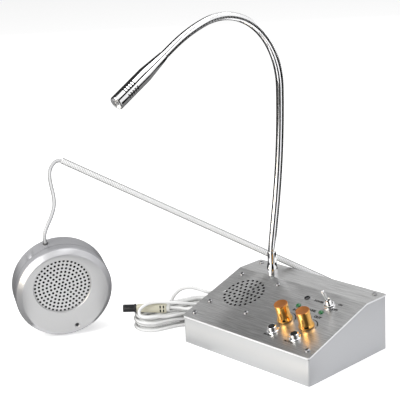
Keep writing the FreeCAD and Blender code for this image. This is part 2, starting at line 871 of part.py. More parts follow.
def toggle_switch():
    """Miniature toggle: box and bushing, ring and nut, and the lever in its ball seat."""
    half_width = toggle_box_width / 2
    half_length = toggle_box_length / 2
    below = -plate_sheet
    floor = below - toggle_box_depth
    body = block(-half_width, half_width, -half_length, half_length, floor, below)
    body = body.fuse(rod(toggle_bush_radius, below, toggle_bush_height))
    mouth = turned([
        (0, toggle_ball_height - toggle_ball_radius - running_clearance),
        (toggle_bore_radius, toggle_ball_height - toggle_ball_radius - running_clearance),
        (toggle_bore_radius, toggle_bush_height - panel_gap),
        (toggle_bore_radius + panel_gap, toggle_bush_height + overrun / 2),
        (0, toggle_bush_height + overrun / 2),
    ])
    body = body.cut(mouth)
    for i in (-1, 0, 1):
        y = i * toggle_terminal_pitch
        pin = block(-toggle_terminal_sheet / 2, toggle_terminal_sheet / 2,
                    y - toggle_terminal_width / 2, y + toggle_terminal_width / 2,
                    floor - toggle_terminal_depth, floor)
        body = body.fuse(pin)
    write("toggle_body", toggle_place(body))

    washer = tube(toggle_washer_radius, toggle_bush_radius, 0.0, toggle_washer_height)
    nut_top = toggle_washer_height + toggle_nut_height
    nut = hexagon(toggle_nut_width, toggle_washer_height, nut_top)
    nut = nut.cut(rod(toggle_bush_radius, -overrun, nut_top + overrun))
    write("toggle_nut", toggle_place(nut.fuse(washer)))

    tip_z = toggle_lever_length
    neck = toggle_lever_neck_radius
    tip = toggle_lever_tip_radius
    lever = turned([
        (0, 0), (neck, 0), (neck, tip_z * 0.25), (tip, tip_z * 0.85), (tip, tip_z - tip / 2),
        (tip * 0.6, tip_z), (0, tip_z),
    ])
    lever = lever.fuse(Part.makeSphere(toggle_ball_radius))
    lever.rotate(ORIGIN, X_AXIS, toggle_lean)
    lever.translate(Vector(0, 0, toggle_ball_height))
    write("toggle_lever", toggle_place(lever))


def lamps():
    """Two talk lamps and the power lamp's bezel, each seated against the plate."""
    below = -plate_sheet
    lights = []
    for x in talk_lamps.values():
        lamp = rod(lamp_flange_radius, below - lamp_flange_height, below)
        lamp = lamp.fuse(rod(lamp_radius, below - lamp_body_height, lamp_dome_height))
        lamp = fillet_at_height(lamp, lamp_dome_height * 0.9, lamp_dome_height)
        lights.append(on_panel(lamp, x, talk_lamp_rise))
    write("talk_lamps", Part.makeCompound(lights))

    bezel = rod(power_bezel_radius, 0.0, power_bezel_height)
    bezel = fillet_at_height(bezel, power_bezel_height * 0.5, power_bezel_height)
    stem_radius = power_bezel_bore + panel_gap
    bezel = bezel.fuse(rod(stem_radius, below - lamp_body_height, 0.0))
    bezel = bezel.cut(rod(power_bezel_bore, below - lamp_body_height - overrun, overrun))
    clamp = hexagon(2 * power_bezel_radius, below - power_bezel_nut_height, below)
    clamp = clamp.cut(rod(stem_radius, below - lamp_body_height, overrun))
    write("power_lamp_bezel", on_panel(bezel.fuse(clamp), power_lamp_x, power_lamp_rise))

    lens = rod(power_bezel_bore, below - lamp_body_height, -panel_gap)
    write("power_lamp", on_panel(lens, power_lamp_x, power_lamp_rise))


def board_hole_places():
    x = board_width / 2 - board_hole_inset
    y = board_depth / 2 - board_hole_inset
    return [(board_x + i * x, board_y + j * y) for i in (-1, 1) for j in (-1, 1)]


def circuit():
    """Board on four standoffs, with the parts that an intercom amplifier carries."""
    top = board_height + board_sheet
    half_w, half_d = board_width / 2, board_depth / 2
    board = block(board_x - half_w, board_x + half_w, board_y - half_d, board_y + half_d, board_height, top)
    standoffs = []
    screws = []
    for x, y in board_hole_places():
        board = board.cut(rod(screw_radius + screw_clearance, 0.0, top + overrun, x, y))
        post = hexagon(standoff_width, base_sheet, board_height, x, y)
        bore = rod(screw_radius, top - board_screw_length, board_height + overrun, x, y)
        standoffs.append(post.cut(bore))
        screw = pan_screw(board_screw_length)
        screw.translate(Vector(x, y, top))
        screws.append(screw)
    write("main_board", board)
    write("board_standoffs", Part.makeCompound(standoffs))
    write("board_screws", Part.makeCompound(screws))

    pieces = []
    for u, w in can_shares:
        can = rod(can_radius, top, top + can_height, board_x + u * half_w, board_y + w * half_d)
        pieces.append(fillet_at_height(can, can_edge, top + can_height))
    for u, w in chip_shares:
        x, y = board_x + u * half_w, board_y + w * half_d
        pieces.append(block(x - chip_width / 2, x + chip_width / 2, y - chip_depth / 2, y + chip_depth / 2,
                            top, top + chip_height))
    for u, w in socket_shares:
        x, y = board_x + u * half_w, board_y + w * half_d
        pieces.append(block(x - socket_width / 2, x + socket_width / 2, y - socket_depth / 2,
                            y + socket_depth / 2, top, top + socket_height))
    x0, y0 = board_x - sink_width / 2, board_y + half_d - 2 * sink_depth
    sink = block(x0, x0 + sink_width, y0, y0 + sink_depth, top, top + sink_height)
    fin = sink_width / (2 * sink_fins - 1)
    for i in range(sink_fins - 1):
        gap_x = x0 + (2 * i + 1) * fin
        sink = sink.cut(block(gap_x, gap_x + fin, y0 + sink_depth / 3, y0 + sink_depth + overrun,
                              top, top + sink_height + overrun))
    pieces.append(sink)
    write("board_components", Part.makeCompound(pieces))


def locknuts():
    """Two like nuts: one inside the back wall on the gland, one under the plate on the ferrule."""
    nut = hexagon(locknut_width, -locknut_height, 0.0)
    nut = nut.cut(rod(gland_thread_radius, -2 * locknut_height, locknut_height))
    under = nut.copy()
    under.Placement = Placement(Vector(neck_x, neck_y(), back_height - plate_sheet), Rotation())
    nut.translate(Vector(0, 0, -sheet))
    write("locknuts", Part.makeCompound([under, on_wall(nut, gland_x, gland_height)]))


class NeckLine:
    """Centre line of the gooseneck in its upright plane, followed by distance from its foot."""

    def __init__(self):
        self.spans = [
            (neck_foot_radius * math.radians(neck_lean), -neck_foot_radius),
            (neck_straight, 0.0),
            (neck_first_radius * math.radians(neck_first_sweep), neck_first_radius),
            (neck_second_radius * math.radians(neck_second_sweep), neck_second_radius),
            (neck_third_radius * math.radians(neck_third_sweep), neck_third_radius),
            (neck_end_straight, 0.0),
        ]

    def length(self):
        return sum(span for span, radius in self.spans)

    def at(self, distance):
        """Forward and upward place, and the angle from upright towards the front."""
        forward, up, angle = 0.0, neck_base_height, 0.0
        for span, radius in self.spans:
            step = min(span, distance)
            if radius:
                turn = step / radius
                forward += radius * (math.cos(angle) - math.cos(angle + turn))
                up += radius * (math.sin(angle + turn) - math.sin(angle))
                angle += turn
            else:
                forward += step * math.sin(angle)
                up += step * math.cos(angle)
            distance -= step
            if distance <= 0:
                break
        return forward, up, angle

    def place(self, distance):
        """Placement whose Z runs along the neck at a distance from its foot."""
        forward, up, angle = self.at(distance)
        base = Vector(neck_x, neck_y() - forward, up)
        return Placement(base, Rotation(X_AXIS, math.degrees(angle)))

    def circle(self, distance, radius):
        """Circle square to the neck, its first point always on the side towards +X."""
        ring = Part.Wire(Part.makeCircle(radius))
        ring.Placement = self.place(distance)
        return ring

    def breaks(self, start, end):
        """Distances from start to end at which one kind of span becomes the next."""
        marks = [start]
        total = 0.0
        for span, radius in self.spans:
            total += span
            if start + neck_rib_pitch < total < end - neck_rib_pitch:
                marks.append(total)
        return marks + [end]


def neck_piece(line, start, end, outer, inner):
    """A stretch of bored tube that follows the neck's own line."""
    pieces = []
    marks = line.breaks(start, end)
    for low, high in zip(marks[:-1], marks[1:]):
        low_place = line.place(low)
        middle_turn = line.at(high)[2] - line.at(low)[2]
        ring = Part.Face(Part.Wire(Part.makeCircle(outer)))
        if inner:
            ring = ring.cut(Part.Face(Part.Wire(Part.makeCircle(inner))))
        if abs(middle_turn) < 0.001:
            span = ring.extrude(Vector(0, 0, high - low))
        else:
            radius = (high - low) / middle_turn
            span = ring.revolve(Vector(0, -radius, 0), X_AXIS, math.degrees(middle_turn))
        span.Placement = low_place
        pieces.append(span)
    whole = pieces[0]
    for piece in pieces[1:]:
        whole = whole.fuse(piece)
    return whole.removeSplitter()


def ribbed_piece(line, start, end):
    """The same tube with the ribs of its wound wires, a ruled loft through four circles a rib."""
    count = round((end - start) / neck_rib_pitch)
    step = (end - start) / count
    groove = neck_radius - neck_rib_depth
    rib_radii = (groove, neck_radius, neck_radius, groove)
    circles = []
    for i in range(count):
        for share, radius in zip(neck_rib_shares, rib_radii):
            circles.append(line.circle(start + (i + share) * step, radius))
    circles.append(line.circle(end, groove))
    bore = neck_piece(line, start, end, neck_bore_radius, 0)
    return Part.makeLoft(circles, True, True).cut(bore)


def gooseneck():
    """Ferrule with its nut, and the ribbed tube in four rigid and three flexing stretches."""
    line = NeckLine()
    strip = back_height
    foot = strip + ferrule_foot_height
    outline = [
        (0, strip), (ferrule_foot_radius, strip), (ferrule_foot_radius, foot),
        (ferrule_top_radius, strip + ferrule_cone_top), (ferrule_top_radius, neck_base_height - neck_radius / 2),
        (neck_radius + ferrule_clearance, neck_base_height), (0, neck_base_height),
    ]
    ferrule = turned(outline, neck_x, neck_y())
    tail = rod(ferrule_tail_radius, strip - ferrule_tail, strip, neck_x, neck_y())
    ferrule = ferrule.fuse(tail)
    ferrule = ferrule.cut(rod(neck_bore_radius, strip - ferrule_tail - overrun, strip + ferrule_foot_height,
                              neck_x, neck_y()))
    socket = rod(neck_radius + ferrule_clearance, -neck_base_height + foot, overrun)
    socket.Placement = line.place(0.0)
    ferrule = ferrule.cut(socket)
    write("neck_ferrule", ferrule)

    foot_depth = -(neck_base_height - foot) + ferrule_clearance
    flex0 = neck_low_flex_start
    flex1 = flex0 + neck_low_flex_length
    mid1 = sum(span for span, radius in line.spans[:3])
    mid0 = mid1 - neck_mid_flex_length
    end = line.length()
    mic0 = end - neck_mic_flex_length
    lower = ribbed_piece(line, 0.0, flex0)
    root = tube(neck_radius, neck_bore_radius, foot_depth, 0.0)
    root.Placement = line.place(0.0)
    write("neck_lower", lower.fuse(root).removeSplitter())
    write("neck_low_flex", ribbed_piece(line, flex0, flex1))
    write("neck_middle", ribbed_piece(line, flex1, mid0))
    write("neck_mid_flex", ribbed_piece(line, mid0, mid1))
    write("neck_upper", ribbed_piece(line, mid1, mic0))
    write("neck_mic_flex", ribbed_piece(line, mic0, end))
    microphone(line.place(end))
    for name, low_mark, high_mark in (("low", flex0, flex1), ("mid", mid0, mid1), ("mic", mic0, end)):
        forward, up, angle = line.at((low_mark + high_mark) / 2)
        print("neck", name, "hinge at", round(neck_x, 2), round(neck_y() - forward, 2), round(up, 2))


def microphone(place):
    """Slotted sleeve with a tapered tail, and the capsule insert that shows in its end."""
    rear = mic_rear_radius
    front = mic_front_radius
    inner_front = front - mic_wall
    outline = [
        (0, 0), (rear - mic_edge / 2, 0), (rear, mic_edge / 2), (front, mic_taper_length),
        (front, mic_length - mic_edge), (front - mic_edge * 0.3, mic_length - mic_edge * 0.3),
        (front - mic_edge, mic_length), (0, mic_length),
    ]
    sleeve = turned(outline)
    cavity = turned([
        (0, mic_socket_depth), (rear - mic_wall, mic_socket_depth), (inner_front, mic_taper_length),
        (inner_front, mic_length + overrun), (0, mic_length + overrun),
    ])
    sleeve = sleeve.cut(cavity)
    sleeve = sleeve.cut(rod(neck_bore_radius, -overrun, mic_socket_depth + overrun))
    slots = []
    for column in range(mic_slot_columns):
        for row in range(mic_slot_rows):
            z = mic_length - mic_slot_from_tip + (row - (mic_slot_rows - 1) / 2) * mic_slot_pitch
            half = front * math.tan(math.radians(mic_slot_span / 2))
            slot = block(0, front + overrun, -half, half, z - mic_slot_width / 2, z + mic_slot_width / 2)
            slot.rotate(ORIGIN, Z_AXIS, mic_slot_turn + 360 * column / mic_slot_columns)
            slots.append(slot)
    core = rod(inner_front - mic_wall, 0.0, mic_length)
    slots_cut = Part.makeCompound(slots).cut(core)
    sleeve = sleeve.cut(slots_cut)
    sleeve.Placement = place
    write("mic_sleeve", sleeve)

    radius = inner_front - mic_insert_clearance
    top = mic_length - mic_insert_from_tip
    insert = rod(radius, top - mic_insert_length, top)
    for i in range(mic_grille_holes):
        angle = 2 * math.pi * i / mic_grille_holes
        insert = insert.cut(rod(mic_grille_hole_radius, top - mic_edge, top + overrun,
                                mic_grille_pitch_radius * math.cos(angle),
                                mic_grille_pitch_radius * math.sin(angle)))
    insert.Placement = place
    write("mic_capsule", insert)


def conduit_direction():
    heading, climb = math.radians(conduit_heading), math.radians(conduit_climb)
    return Vector(math.cos(climb) * math.cos(heading), math.cos(climb) * math.sin(heading), math.sin(climb))


def conduit_corner():
    return Vector(gland_x, back_y + conduit_bend_distance, gland_height)


def conduit_end():
    return conduit_corner() + conduit_direction() * conduit_length


def path_wire(points, radii):
    """Straight runs through the points, joined at each inner point by a tangent arc."""
    edges = []
    current = points[0]
    for i in range(1, len(points) - 1):
        corner = points[i]
        back = (points[i - 1] - corner).normalize()
        ahead = (points[i + 1] - corner).normalize()
        turn = math.pi - back.getAngle(ahead)
        cut_back = radii[i - 1] * math.tan(turn / 2)
        first = corner + back * cut_back
        last = corner + ahead * cut_back
        inward = (back + ahead).normalize()
        centre = corner + inward * (radii[i - 1] / math.cos(turn / 2))
        middle = centre - inward * radii[i - 1]
        edges.append(Part.LineSegment(current, first).toShape())
        edges.append(Part.Arc(first, middle, last).toShape())
        current = last
    edges.append(Part.LineSegment(current, points[-1]).toShape())
    return Part.Wire(edges)


def bend_radii(points):
    """Each arc as large as its two runs allow."""
    radii = []
    for i in range(1, len(points) - 1):
        before = points[i - 1] - points[i]
        after = points[i + 1] - points[i]
        turn = math.pi - before.getAngle(after)
        shorter = min(before.Length, after.Length)
        radii.append(0.45 * shorter / math.tan(turn / 2))
    return radii


def swept(wire, radius):
    """One round section carried along a wire of lines and arcs."""
    start = wire.OrderedVertexes[0].Point
    ahead = wire.OrderedEdges[0].tangentAt(wire.OrderedEdges[0].FirstParameter)
    circle = Part.Wire(Part.makeCircle(radius, start, ahead))
    return wire.makePipeShell([circle], True, False)


def soft_tube(name, points, radius):
    """A free stretch of lead; prints its radii and compares its volume with its length."""
    radii = bend_radii(points)
    wire = path_wire(points, radii)
    solid = swept(wire, radius)
    ideal = math.pi * radius ** 2 * wire.Length
    turns = []
    for i in range(1, len(points) - 1):
        turns.append(180 - math.degrees((points[i - 1] - points[i]).getAngle(points[i + 1] - points[i])))
    runs = [(b - a).Length for a, b in zip(points[:-1], points[1:])]
    print(name, "length", round(wire.Length, 1), "volume share", round(solid.Volume / ideal, 4))
    print("  radii", [round(value, 1) for value in radii], "least", round(min(radii), 1))
    print("  turns", [round(value) for value in turns])
    print("  runs", [round(value) for value in runs])
    write(name, solid)


def conduit():
    """Gland in the back wall, the bend that flexes, and the straight armoured conduit."""
    gland = hexagon(gland_hex_width, 0.0, gland_hex_height)
    gland = gland.fuse(turned([
        (0, gland_hex_height), (gland_dome_radius, gland_hex_height),
        (gland_dome_radius, gland_length - gland_hex_height / 2),
        (gland_dome_radius - gland_hex_height / 2, gland_length), (0, gland_length),
    ]))
    gland = gland.fuse(rod(gland_thread_radius, -gland_thread_length, 0.0))
    gland = gland.cut(rod(conduit_radius + ferrule_clearance, -gland_thread_length - overrun,
                          gland_length + overrun))
    write("conduit_gland", on_wall(gland, gland_x, gland_height))

    start = Vector(gland_x, back_y + gland_length - conduit_grip, gland_height)
    corner = conduit_corner()
    direction = conduit_direction()
    turn = math.pi - (start - corner).getAngle(direction)
    tangent = conduit_bend_radius * math.tan(turn / 2)
    joint = corner + direction * tangent
    bend_wire = path_wire([start, corner, joint + direction * conduit_grip], [conduit_bend_radius])
    bend = swept(bend_wire, conduit_radius)
    write("conduit_flex", bend)
    arm_start = joint + direction * conduit_grip
    arm_length = (conduit_end() - arm_start).Length
    arm = tube(conduit_radius, conduit_bore_radius, 0.0, arm_length)
    arm = arm.common(rod(conduit_radius, 0.0, arm_length))
    arm.Placement = Placement(arm_start, Rotation(Z_AXIS, direction))
    write("conduit_arm", arm)
    print("conduit pivot", round(gland_x, 2), round(back_y + gland_length, 2), round(gland_height, 2))


def disc_place():
    """Frame of the round speaker: Z out of its face, Y towards its lead."""
    heading, tilt, roll = (math.radians(value) for value in (disc_heading, disc_tilt, disc_roll))
    normal = Vector(math.cos(tilt) * math.cos(heading), math.cos(tilt) * math.sin(heading), math.sin(tilt))
    level = Vector(-math.sin(heading), math.cos(heading), 0)
    upright = normal.cross(level)
    across = level * math.cos(roll) + upright * math.sin(roll)
    up = upright * math.cos(roll) - level * math.sin(roll)
    centre = Vector(disc_x, disc_y, disc_radius * math.cos(tilt))
    return Placement(centre, Rotation(across, up, normal, "ZYX"))


def hex_hole(radius, z0, z1, x, y):
    """A six-sided cut with the area of a small round hole."""
    return hexagon(radius * 1.9, z0, z1, x, y)


def round_speaker():
    """Customer's speaker: front shell, perforated disc, rear housing and what they hold."""
    place = disc_place()

    def put(name, shape):
        shape.Placement = place.multiply(shape.Placement)
        write(name, shape)

    face = disc_shoulder
    skirt = -disc_front_skirt
    front = turned([
        (0, face), (disc_face_radius - disc_face_edge, face), (disc_face_radius, face - disc_face_edge),
        (disc_radius - disc_face_edge, disc_face_edge), (disc_radius, -disc_face_edge), (disc_radius, skirt),
        (disc_radius - disc_wall, skirt), (disc_radius - disc_wall, -disc_wall),
        (disc_face_radius - disc_wall, face - disc_wall), (0, face - disc_wall),
    ])
    recess_floor = face - disc_wall - overrun
    front = front.cut(rod(grille_radius, recess_floor, face + overrun, 0.0, grille_offset))
    front = front.cut(rod(talk_hole_radius, recess_floor, face + overrun, 0.0, -talk_hole_offset))
    seat = face - disc_wall
    tunnel = tube(grille_radius + grille_flange + grille_sheet, grille_radius + grille_flange,
                  seat - grille_recess, seat, 0.0, grille_offset)
    front = front.fuse(tunnel)
    boss_top = seat
    for x, y in disc_screw_places():
        boss = tube(disc_boss_radius, screw_radius, boss_top - 2 * disc_wall, boss_top, x, y)
        front = front.fuse(boss)
    put("round_speaker_front", front.removeSplitter())

    grille = rod(grille_radius + grille_flange - lamp_clearance, seat - grille_sheet, seat, 0.0, grille_offset)
    holes = []
    for dx, dy in ring_places(grille_rings, grille_ring_pitch):
        holes.append(hex_hole(grille_hole_radius, seat - 2 * grille_sheet, seat + grille_sheet,
                              dx, grille_offset + dy))
    put("round_speaker_grille", grille.cut(Part.makeCompound(holes)))

    top = seat - grille_sheet
    driver_rim = disc_driver_radius - disc_wall
    floor = top - disc_driver_depth
    driver = turned([
        (driver_rim, top), (disc_driver_radius, top), (disc_driver_radius, top - grille_sheet),
        (disc_driver_foot_radius, floor - grille_sheet), (disc_coil_radius + grille_sheet, floor - grille_sheet),
        (disc_coil_radius + grille_sheet, floor), (disc_driver_foot_radius - grille_sheet, floor),
        (driver_rim, top - grille_sheet),
    ], 0.0, grille_offset)
    put("round_speaker_driver", driver)

    coil = disc_coil_radius
    cone = turned([
        (driver_rim, top - cone_sheet), (driver_rim - gasket_width / 2, top), (driver_rim - gasket_width,
                                                                             top - 2 * cone_sheet),
        (coil, top - disc_cone_depth), (0, top - disc_cone_depth + dust_cap_rise),
        (0, top - disc_cone_depth + dust_cap_rise - cone_sheet), (coil - cone_sheet, top - disc_cone_depth
                                                                - cone_sheet),
        (coil - cone_sheet, floor - grille_sheet), (coil, floor - grille_sheet),
        (coil, top - disc_cone_depth - cone_sheet), (driver_rim - gasket_width, top - 3 * cone_sheet),
        (driver_rim - gasket_width / 2, top - cone_sheet), (driver_rim, top - grille_sheet),
    ], 0.0, grille_offset)
    put("round_speaker_cone", cone)

    magnet_top = floor - grille_sheet
    magnet = rod(disc_magnet_radius, magnet_top - disc_magnet_height, magnet_top, 0.0, grille_offset)
    put("round_speaker_magnet", magnet)

    capsule = rod(talk_capsule_radius, seat - talk_capsule_height, seat, 0.0, -talk_hole_offset)
    put("round_speaker_mic", capsule)

    back = -disc_depth
    rim_inner = disc_radius - disc_wall
    rear = rod(disc_radius, back, skirt - disc_joint_gap)
    rear = fillet_at_height(rear, disc_back_edge, back)
    edge = skirt - disc_joint_gap
    rear = rear.cut(rod(rim_inner, back + disc_wall, edge + overrun))
    spigot_inner = rim_inner - disc_joint_gap - disc_wall
    rear = rear.fuse(tube(rim_inner + disc_joint_gap, spigot_inner, edge - disc_spigot_height, edge))
    rear = rear.fuse(tube(rim_inner - disc_joint_gap, spigot_inner, edge, skirt + disc_wall))
    for x, y in disc_screw_places():
        boss = rod(disc_boss_radius, back + disc_wall, boss_top - 2 * disc_wall, x, y)
        head_room = rod(pan_head_radius + screw_clearance, back - overrun, back + 2 * disc_wall, x, y)
        shank = rod(screw_radius + screw_clearance, back, boss_top, x, y)
        rear = rear.fuse(boss).cut(head_room).cut(shank)
    hole = Part.makeCylinder(grommet_radius, 2 * overrun, Vector(0, disc_radius - overrun, -grommet_depth), Y_AXIS)
    put("round_speaker_housing", rear.cut(hole))

    screws = []
    seat_z = back + 2 * disc_wall
    length = boss_top - disc_wall - seat_z
    for x, y in disc_screw_places():
        screw = pan_screw(length)
        screw.Placement = Placement(Vector(x, y, seat_z), Rotation(X_AXIS, 180))
        screws.append(screw)
    put("round_speaker_screws", Part.makeCompound(screws))

    sleeve = turned([
        (speaker_lead_radius, -grommet_groove - grommet_flange_height),
        (grommet_flange_radius, -grommet_groove - grommet_flange_height),
        (grommet_flange_radius, -grommet_groove - grommet_sag()), (grommet_radius, -grommet_groove
                                                                  - grommet_sag()),
        (grommet_radius, grommet_flange_height), (grommet_radius - speaker_lead_radius / 4,
                                                  2 * grommet_flange_height),
        (speaker_lead_radius, 2 * grommet_flange_height),
    ])
    sleeve.Placement = Placement(Vector(0, disc_radius, -grommet_depth), Rotation(X_AXIS, -90))
    put("round_speaker_grommet", sleeve)


def grommet_sag():
    """Depth of the rim's curve across the grommet's inner flange."""
    inner = disc_radius - disc_wall
    return inner - math.sqrt(inner ** 2 - grommet_flange_radius ** 2)


def disc_screw_places():
    places = []
    for degrees in disc_screw_angles:
        angle = math.radians(degrees)
        places.append((disc_screw_offset * math.cos(angle), disc_screw_offset * math.sin(angle)))
    return places


def speaker_lead():
    """Lead from the conduit's open end down into the round speaker's rim."""
    place = disc_place()
    entry = place.multVec(Vector(0, disc_radius + 2 * grommet_flange_height, -grommet_depth))
    up = place.Rotation.multVec(Y_AXIS)
    inside = place.multVec(Vector(0, disc_radius - grommet_groove, -grommet_depth))
    last = entry + up * lead_run_in
    start = conduit_end() - conduit_direction() * lead_grip
    points = [start, conduit_end() + conduit_direction() * lead_overshoot]
    points += [Vector(*point) for point in speaker_lead_route]
    points += [last, inside]
    soft_tube("speaker_lead", points, speaker_lead_radius)


def hank_vector(along, across, height):
    heading = math.radians(hank_heading)
    forward = Vector(math.cos(heading), math.sin(heading), 0)
    left = Vector(-math.sin(heading), math.cos(heading), 0)
    return Vector(hank_x, hank_y, height) + forward * along + left * across


def hank_layer_height(layer):
    return lead_radius + hank_floor_clearance + layer * hank_pitch


def hank_runs():
    """Every straight run from the top layer down, as side, offset and heights at its two ends."""
    step = hank_pitch / 2
    runs = []
    offset = hank_outer_offset
    count = 2 * hank_turns_per_layer
    inward = True
    for layer in range(hank_layers - 1, -1, -1):
        height = hank_layer_height(layer)
        first = 0 if layer == hank_layers - 1 else 1
        for i in range(first, count):
            side = -1 if i % 2 == 0 else 1
            runs.append((side, offset, height, height))
            offset += -step if inward else step
        below = hank_layer_height(layer - 1) if layer else height
        runs.append((-1, offset, height, below))
        offset += -step if not inward else step
        inward = not inward
    return runs


def hank_edges():
    """Runs and half turns of the hank; a run that climbs down is two arcs in its own plane."""
    edges = []
    runs = hank_runs()
    last = len(runs) - 1
    for i, (side, offset, z0, z1) in enumerate(runs):
        ahead = -side
        start = -ahead * hank_half_run
        finish = ahead * hank_half_run
        if i == 0:
            start += ahead * hank_lead_in
        if i == last:
            finish -= ahead * (2 * hank_half_run - hank_lead_in)
        a = hank_vector(start, side * offset, z0)
        b = hank_vector(finish, side * offset, z1)
        if abs(z1 - z0) > 0.001:
            edges += climb_edges(a, b)
        else:
            edges.append(Part.LineSegment(a, b).toShape())
        if i < last:
            next_offset = runs[i + 1][1]
            far = hank_vector(finish, -side * next_offset, z1)
            radius = (offset + next_offset) / 2
            centre_across = side * (offset - next_offset) / 2
            middle = hank_vector(finish + ahead * radius, centre_across, z1)
            edges.append(Part.Arc(b, middle, far).toShape())
    return edges


def climb_edges(a, b):
    """Two equal arcs that carry a run from one height to the next, level at both ends."""
    level = Vector(b.x - a.x, b.y - a.y, 0)
    run = level.Length / 2
    rise = (b.z - a.z) / 2
    radius = (run ** 2 + rise ** 2) / (2 * rise)
    forward = level.normalize()
    half_angle = math.asin(run / abs(radius)) / 2
    quarter_run = abs(radius) * math.sin(half_angle)
    quarter_rise = math.copysign(abs(radius) * (1 - math.cos(half_angle)), rise)
    middle = a + forward * run + Vector(0, 0, rise)
    first = a + forward * quarter_run + Vector(0, 0, quarter_rise)
    second = b - forward * quarter_run - Vector(0, 0, quarter_rise)
    return [Part.Arc(a, first, middle).toShape(), Part.Arc(middle, second, b).toShape()]


def least_gap(wire, radius):
    """Least clear distance of a wound tube to itself, measured on points along it."""
    spacing = radius / 2
    points = wire.discretize(Distance=spacing)
    skip = int(4 * math.pi * radius / spacing)
    cells = {}
    size = 4 * radius
    for i, point in enumerate(points):
        key = (int(point.x // size), int(point.y // size), int(point.z // size))
        cells.setdefault(key, []).append(i)
    best = None
    for (cx, cy, cz), members in cells.items():
        near = []
        for dx in (-1, 0, 1):
            for dy in (-1, 0, 1):
                for dz in (-1, 0, 1):
                    near += cells.get((cx + dx, cy + dy, cz + dz), [])
        for i in members:
            for j in near:
                if j - i > skip:
                    gap = (points[i] - points[j]).Length - 2 * radius
                    if best is None or gap < best:
                        best = gap
    return best


def power_hank():
    wire = Part.Wire(hank_edges())
    solid = swept(wire, lead_radius)
    ideal = math.pi * lead_radius ** 2 * wire.Length
    print("hank length", round(wire.Length, 1), "volume share", round(solid.Volume / ideal, 4),
          "least gap", round(least_gap(wire, lead_radius), 2))
    write("power_lead_hank", solid)


def hank_start():
    return hank_vector(-hank_half_run + hank_lead_in, -hank_outer_offset, hank_layer_height(hank_layers - 1))


def hank_end():
    return hank_vector(-hank_half_run + hank_lead_in, -hank_outer_offset, hank_layer_height(0))


def power_leads():
    """Grommet in the back wall, the lead to the hank, and the lead from the hank to the plug."""
    flange = power_gland_flange_height
    gland = turned([
        (lead_radius, -2 * sheet), (power_gland_flange_radius, -2 * sheet),
        (power_gland_flange_radius, -sheet), (power_gland_radius, -sheet), (power_gland_radius, 0),
        (power_gland_flange_radius, 0), (power_gland_flange_radius, flange),
        (power_gland_radius, flange + sheet), (power_gland_tip_radius, power_gland_length),
        (lead_radius, power_gland_length),
    ])
    write("power_gland", on_wall(gland, power_gland_x, power_gland_height))

    inside = Vector(power_gland_x, back_y - 2 * sheet, power_gland_height)
    start = hank_start()
    before = hank_vector(-hank_half_run + hank_lead_in - 4 * lead_radius, -hank_outer_offset, start.z)
    points = [inside] + [Vector(*point) for point in power_lead_route] + [before, start]
    soft_tube("power_lead", points, lead_radius)

    end = hank_end()
    after = hank_vector(-hank_half_run + hank_lead_in + 4 * lead_radius, -hank_outer_offset, end.z)
    tail = plug_place().multVec(Vector(0, 0, plug_body_length + plug_band_length))
    heading = plug_place().Rotation.multVec(Z_AXIS)
    before_tail = tail + heading * (5 * lead_radius)
    points = [end, after] + [Vector(*point) for point in plug_lead_route] + [before_tail, tail]
    soft_tube("plug_lead", points, lead_radius)


def plug_place():
    """Frame of the plug: Z runs from its nose to its tail, level above the hank."""
    heading = math.radians(plug_heading)
    axis = Vector(math.cos(heading), math.sin(heading), 0)
    side = Vector(-math.sin(heading), math.cos(heading), 0)
    return Placement(Vector(plug_x, plug_y, plug_height), Rotation(side, Z_AXIS, axis, "ZYX"))


def stadium(width, thickness, z):
    """A flat oval outline, wider along Y than along X."""
    radius = thickness / 2
    reach = width / 2 - radius
    a = Vector(-radius, -reach, z)
    b = Vector(radius, -reach, z)
    c = Vector(radius, reach, z)
    d = Vector(-radius, reach, z)
    edges = [
        Part.Arc(a, Vector(0, -reach - radius, z), b).toShape(), Part.LineSegment(b, c).toShape(),
        Part.Arc(c, Vector(0, reach + radius, z), d).toShape(), Part.LineSegment(d, a).toShape(),
    ]
    return Part.Wire(edges)


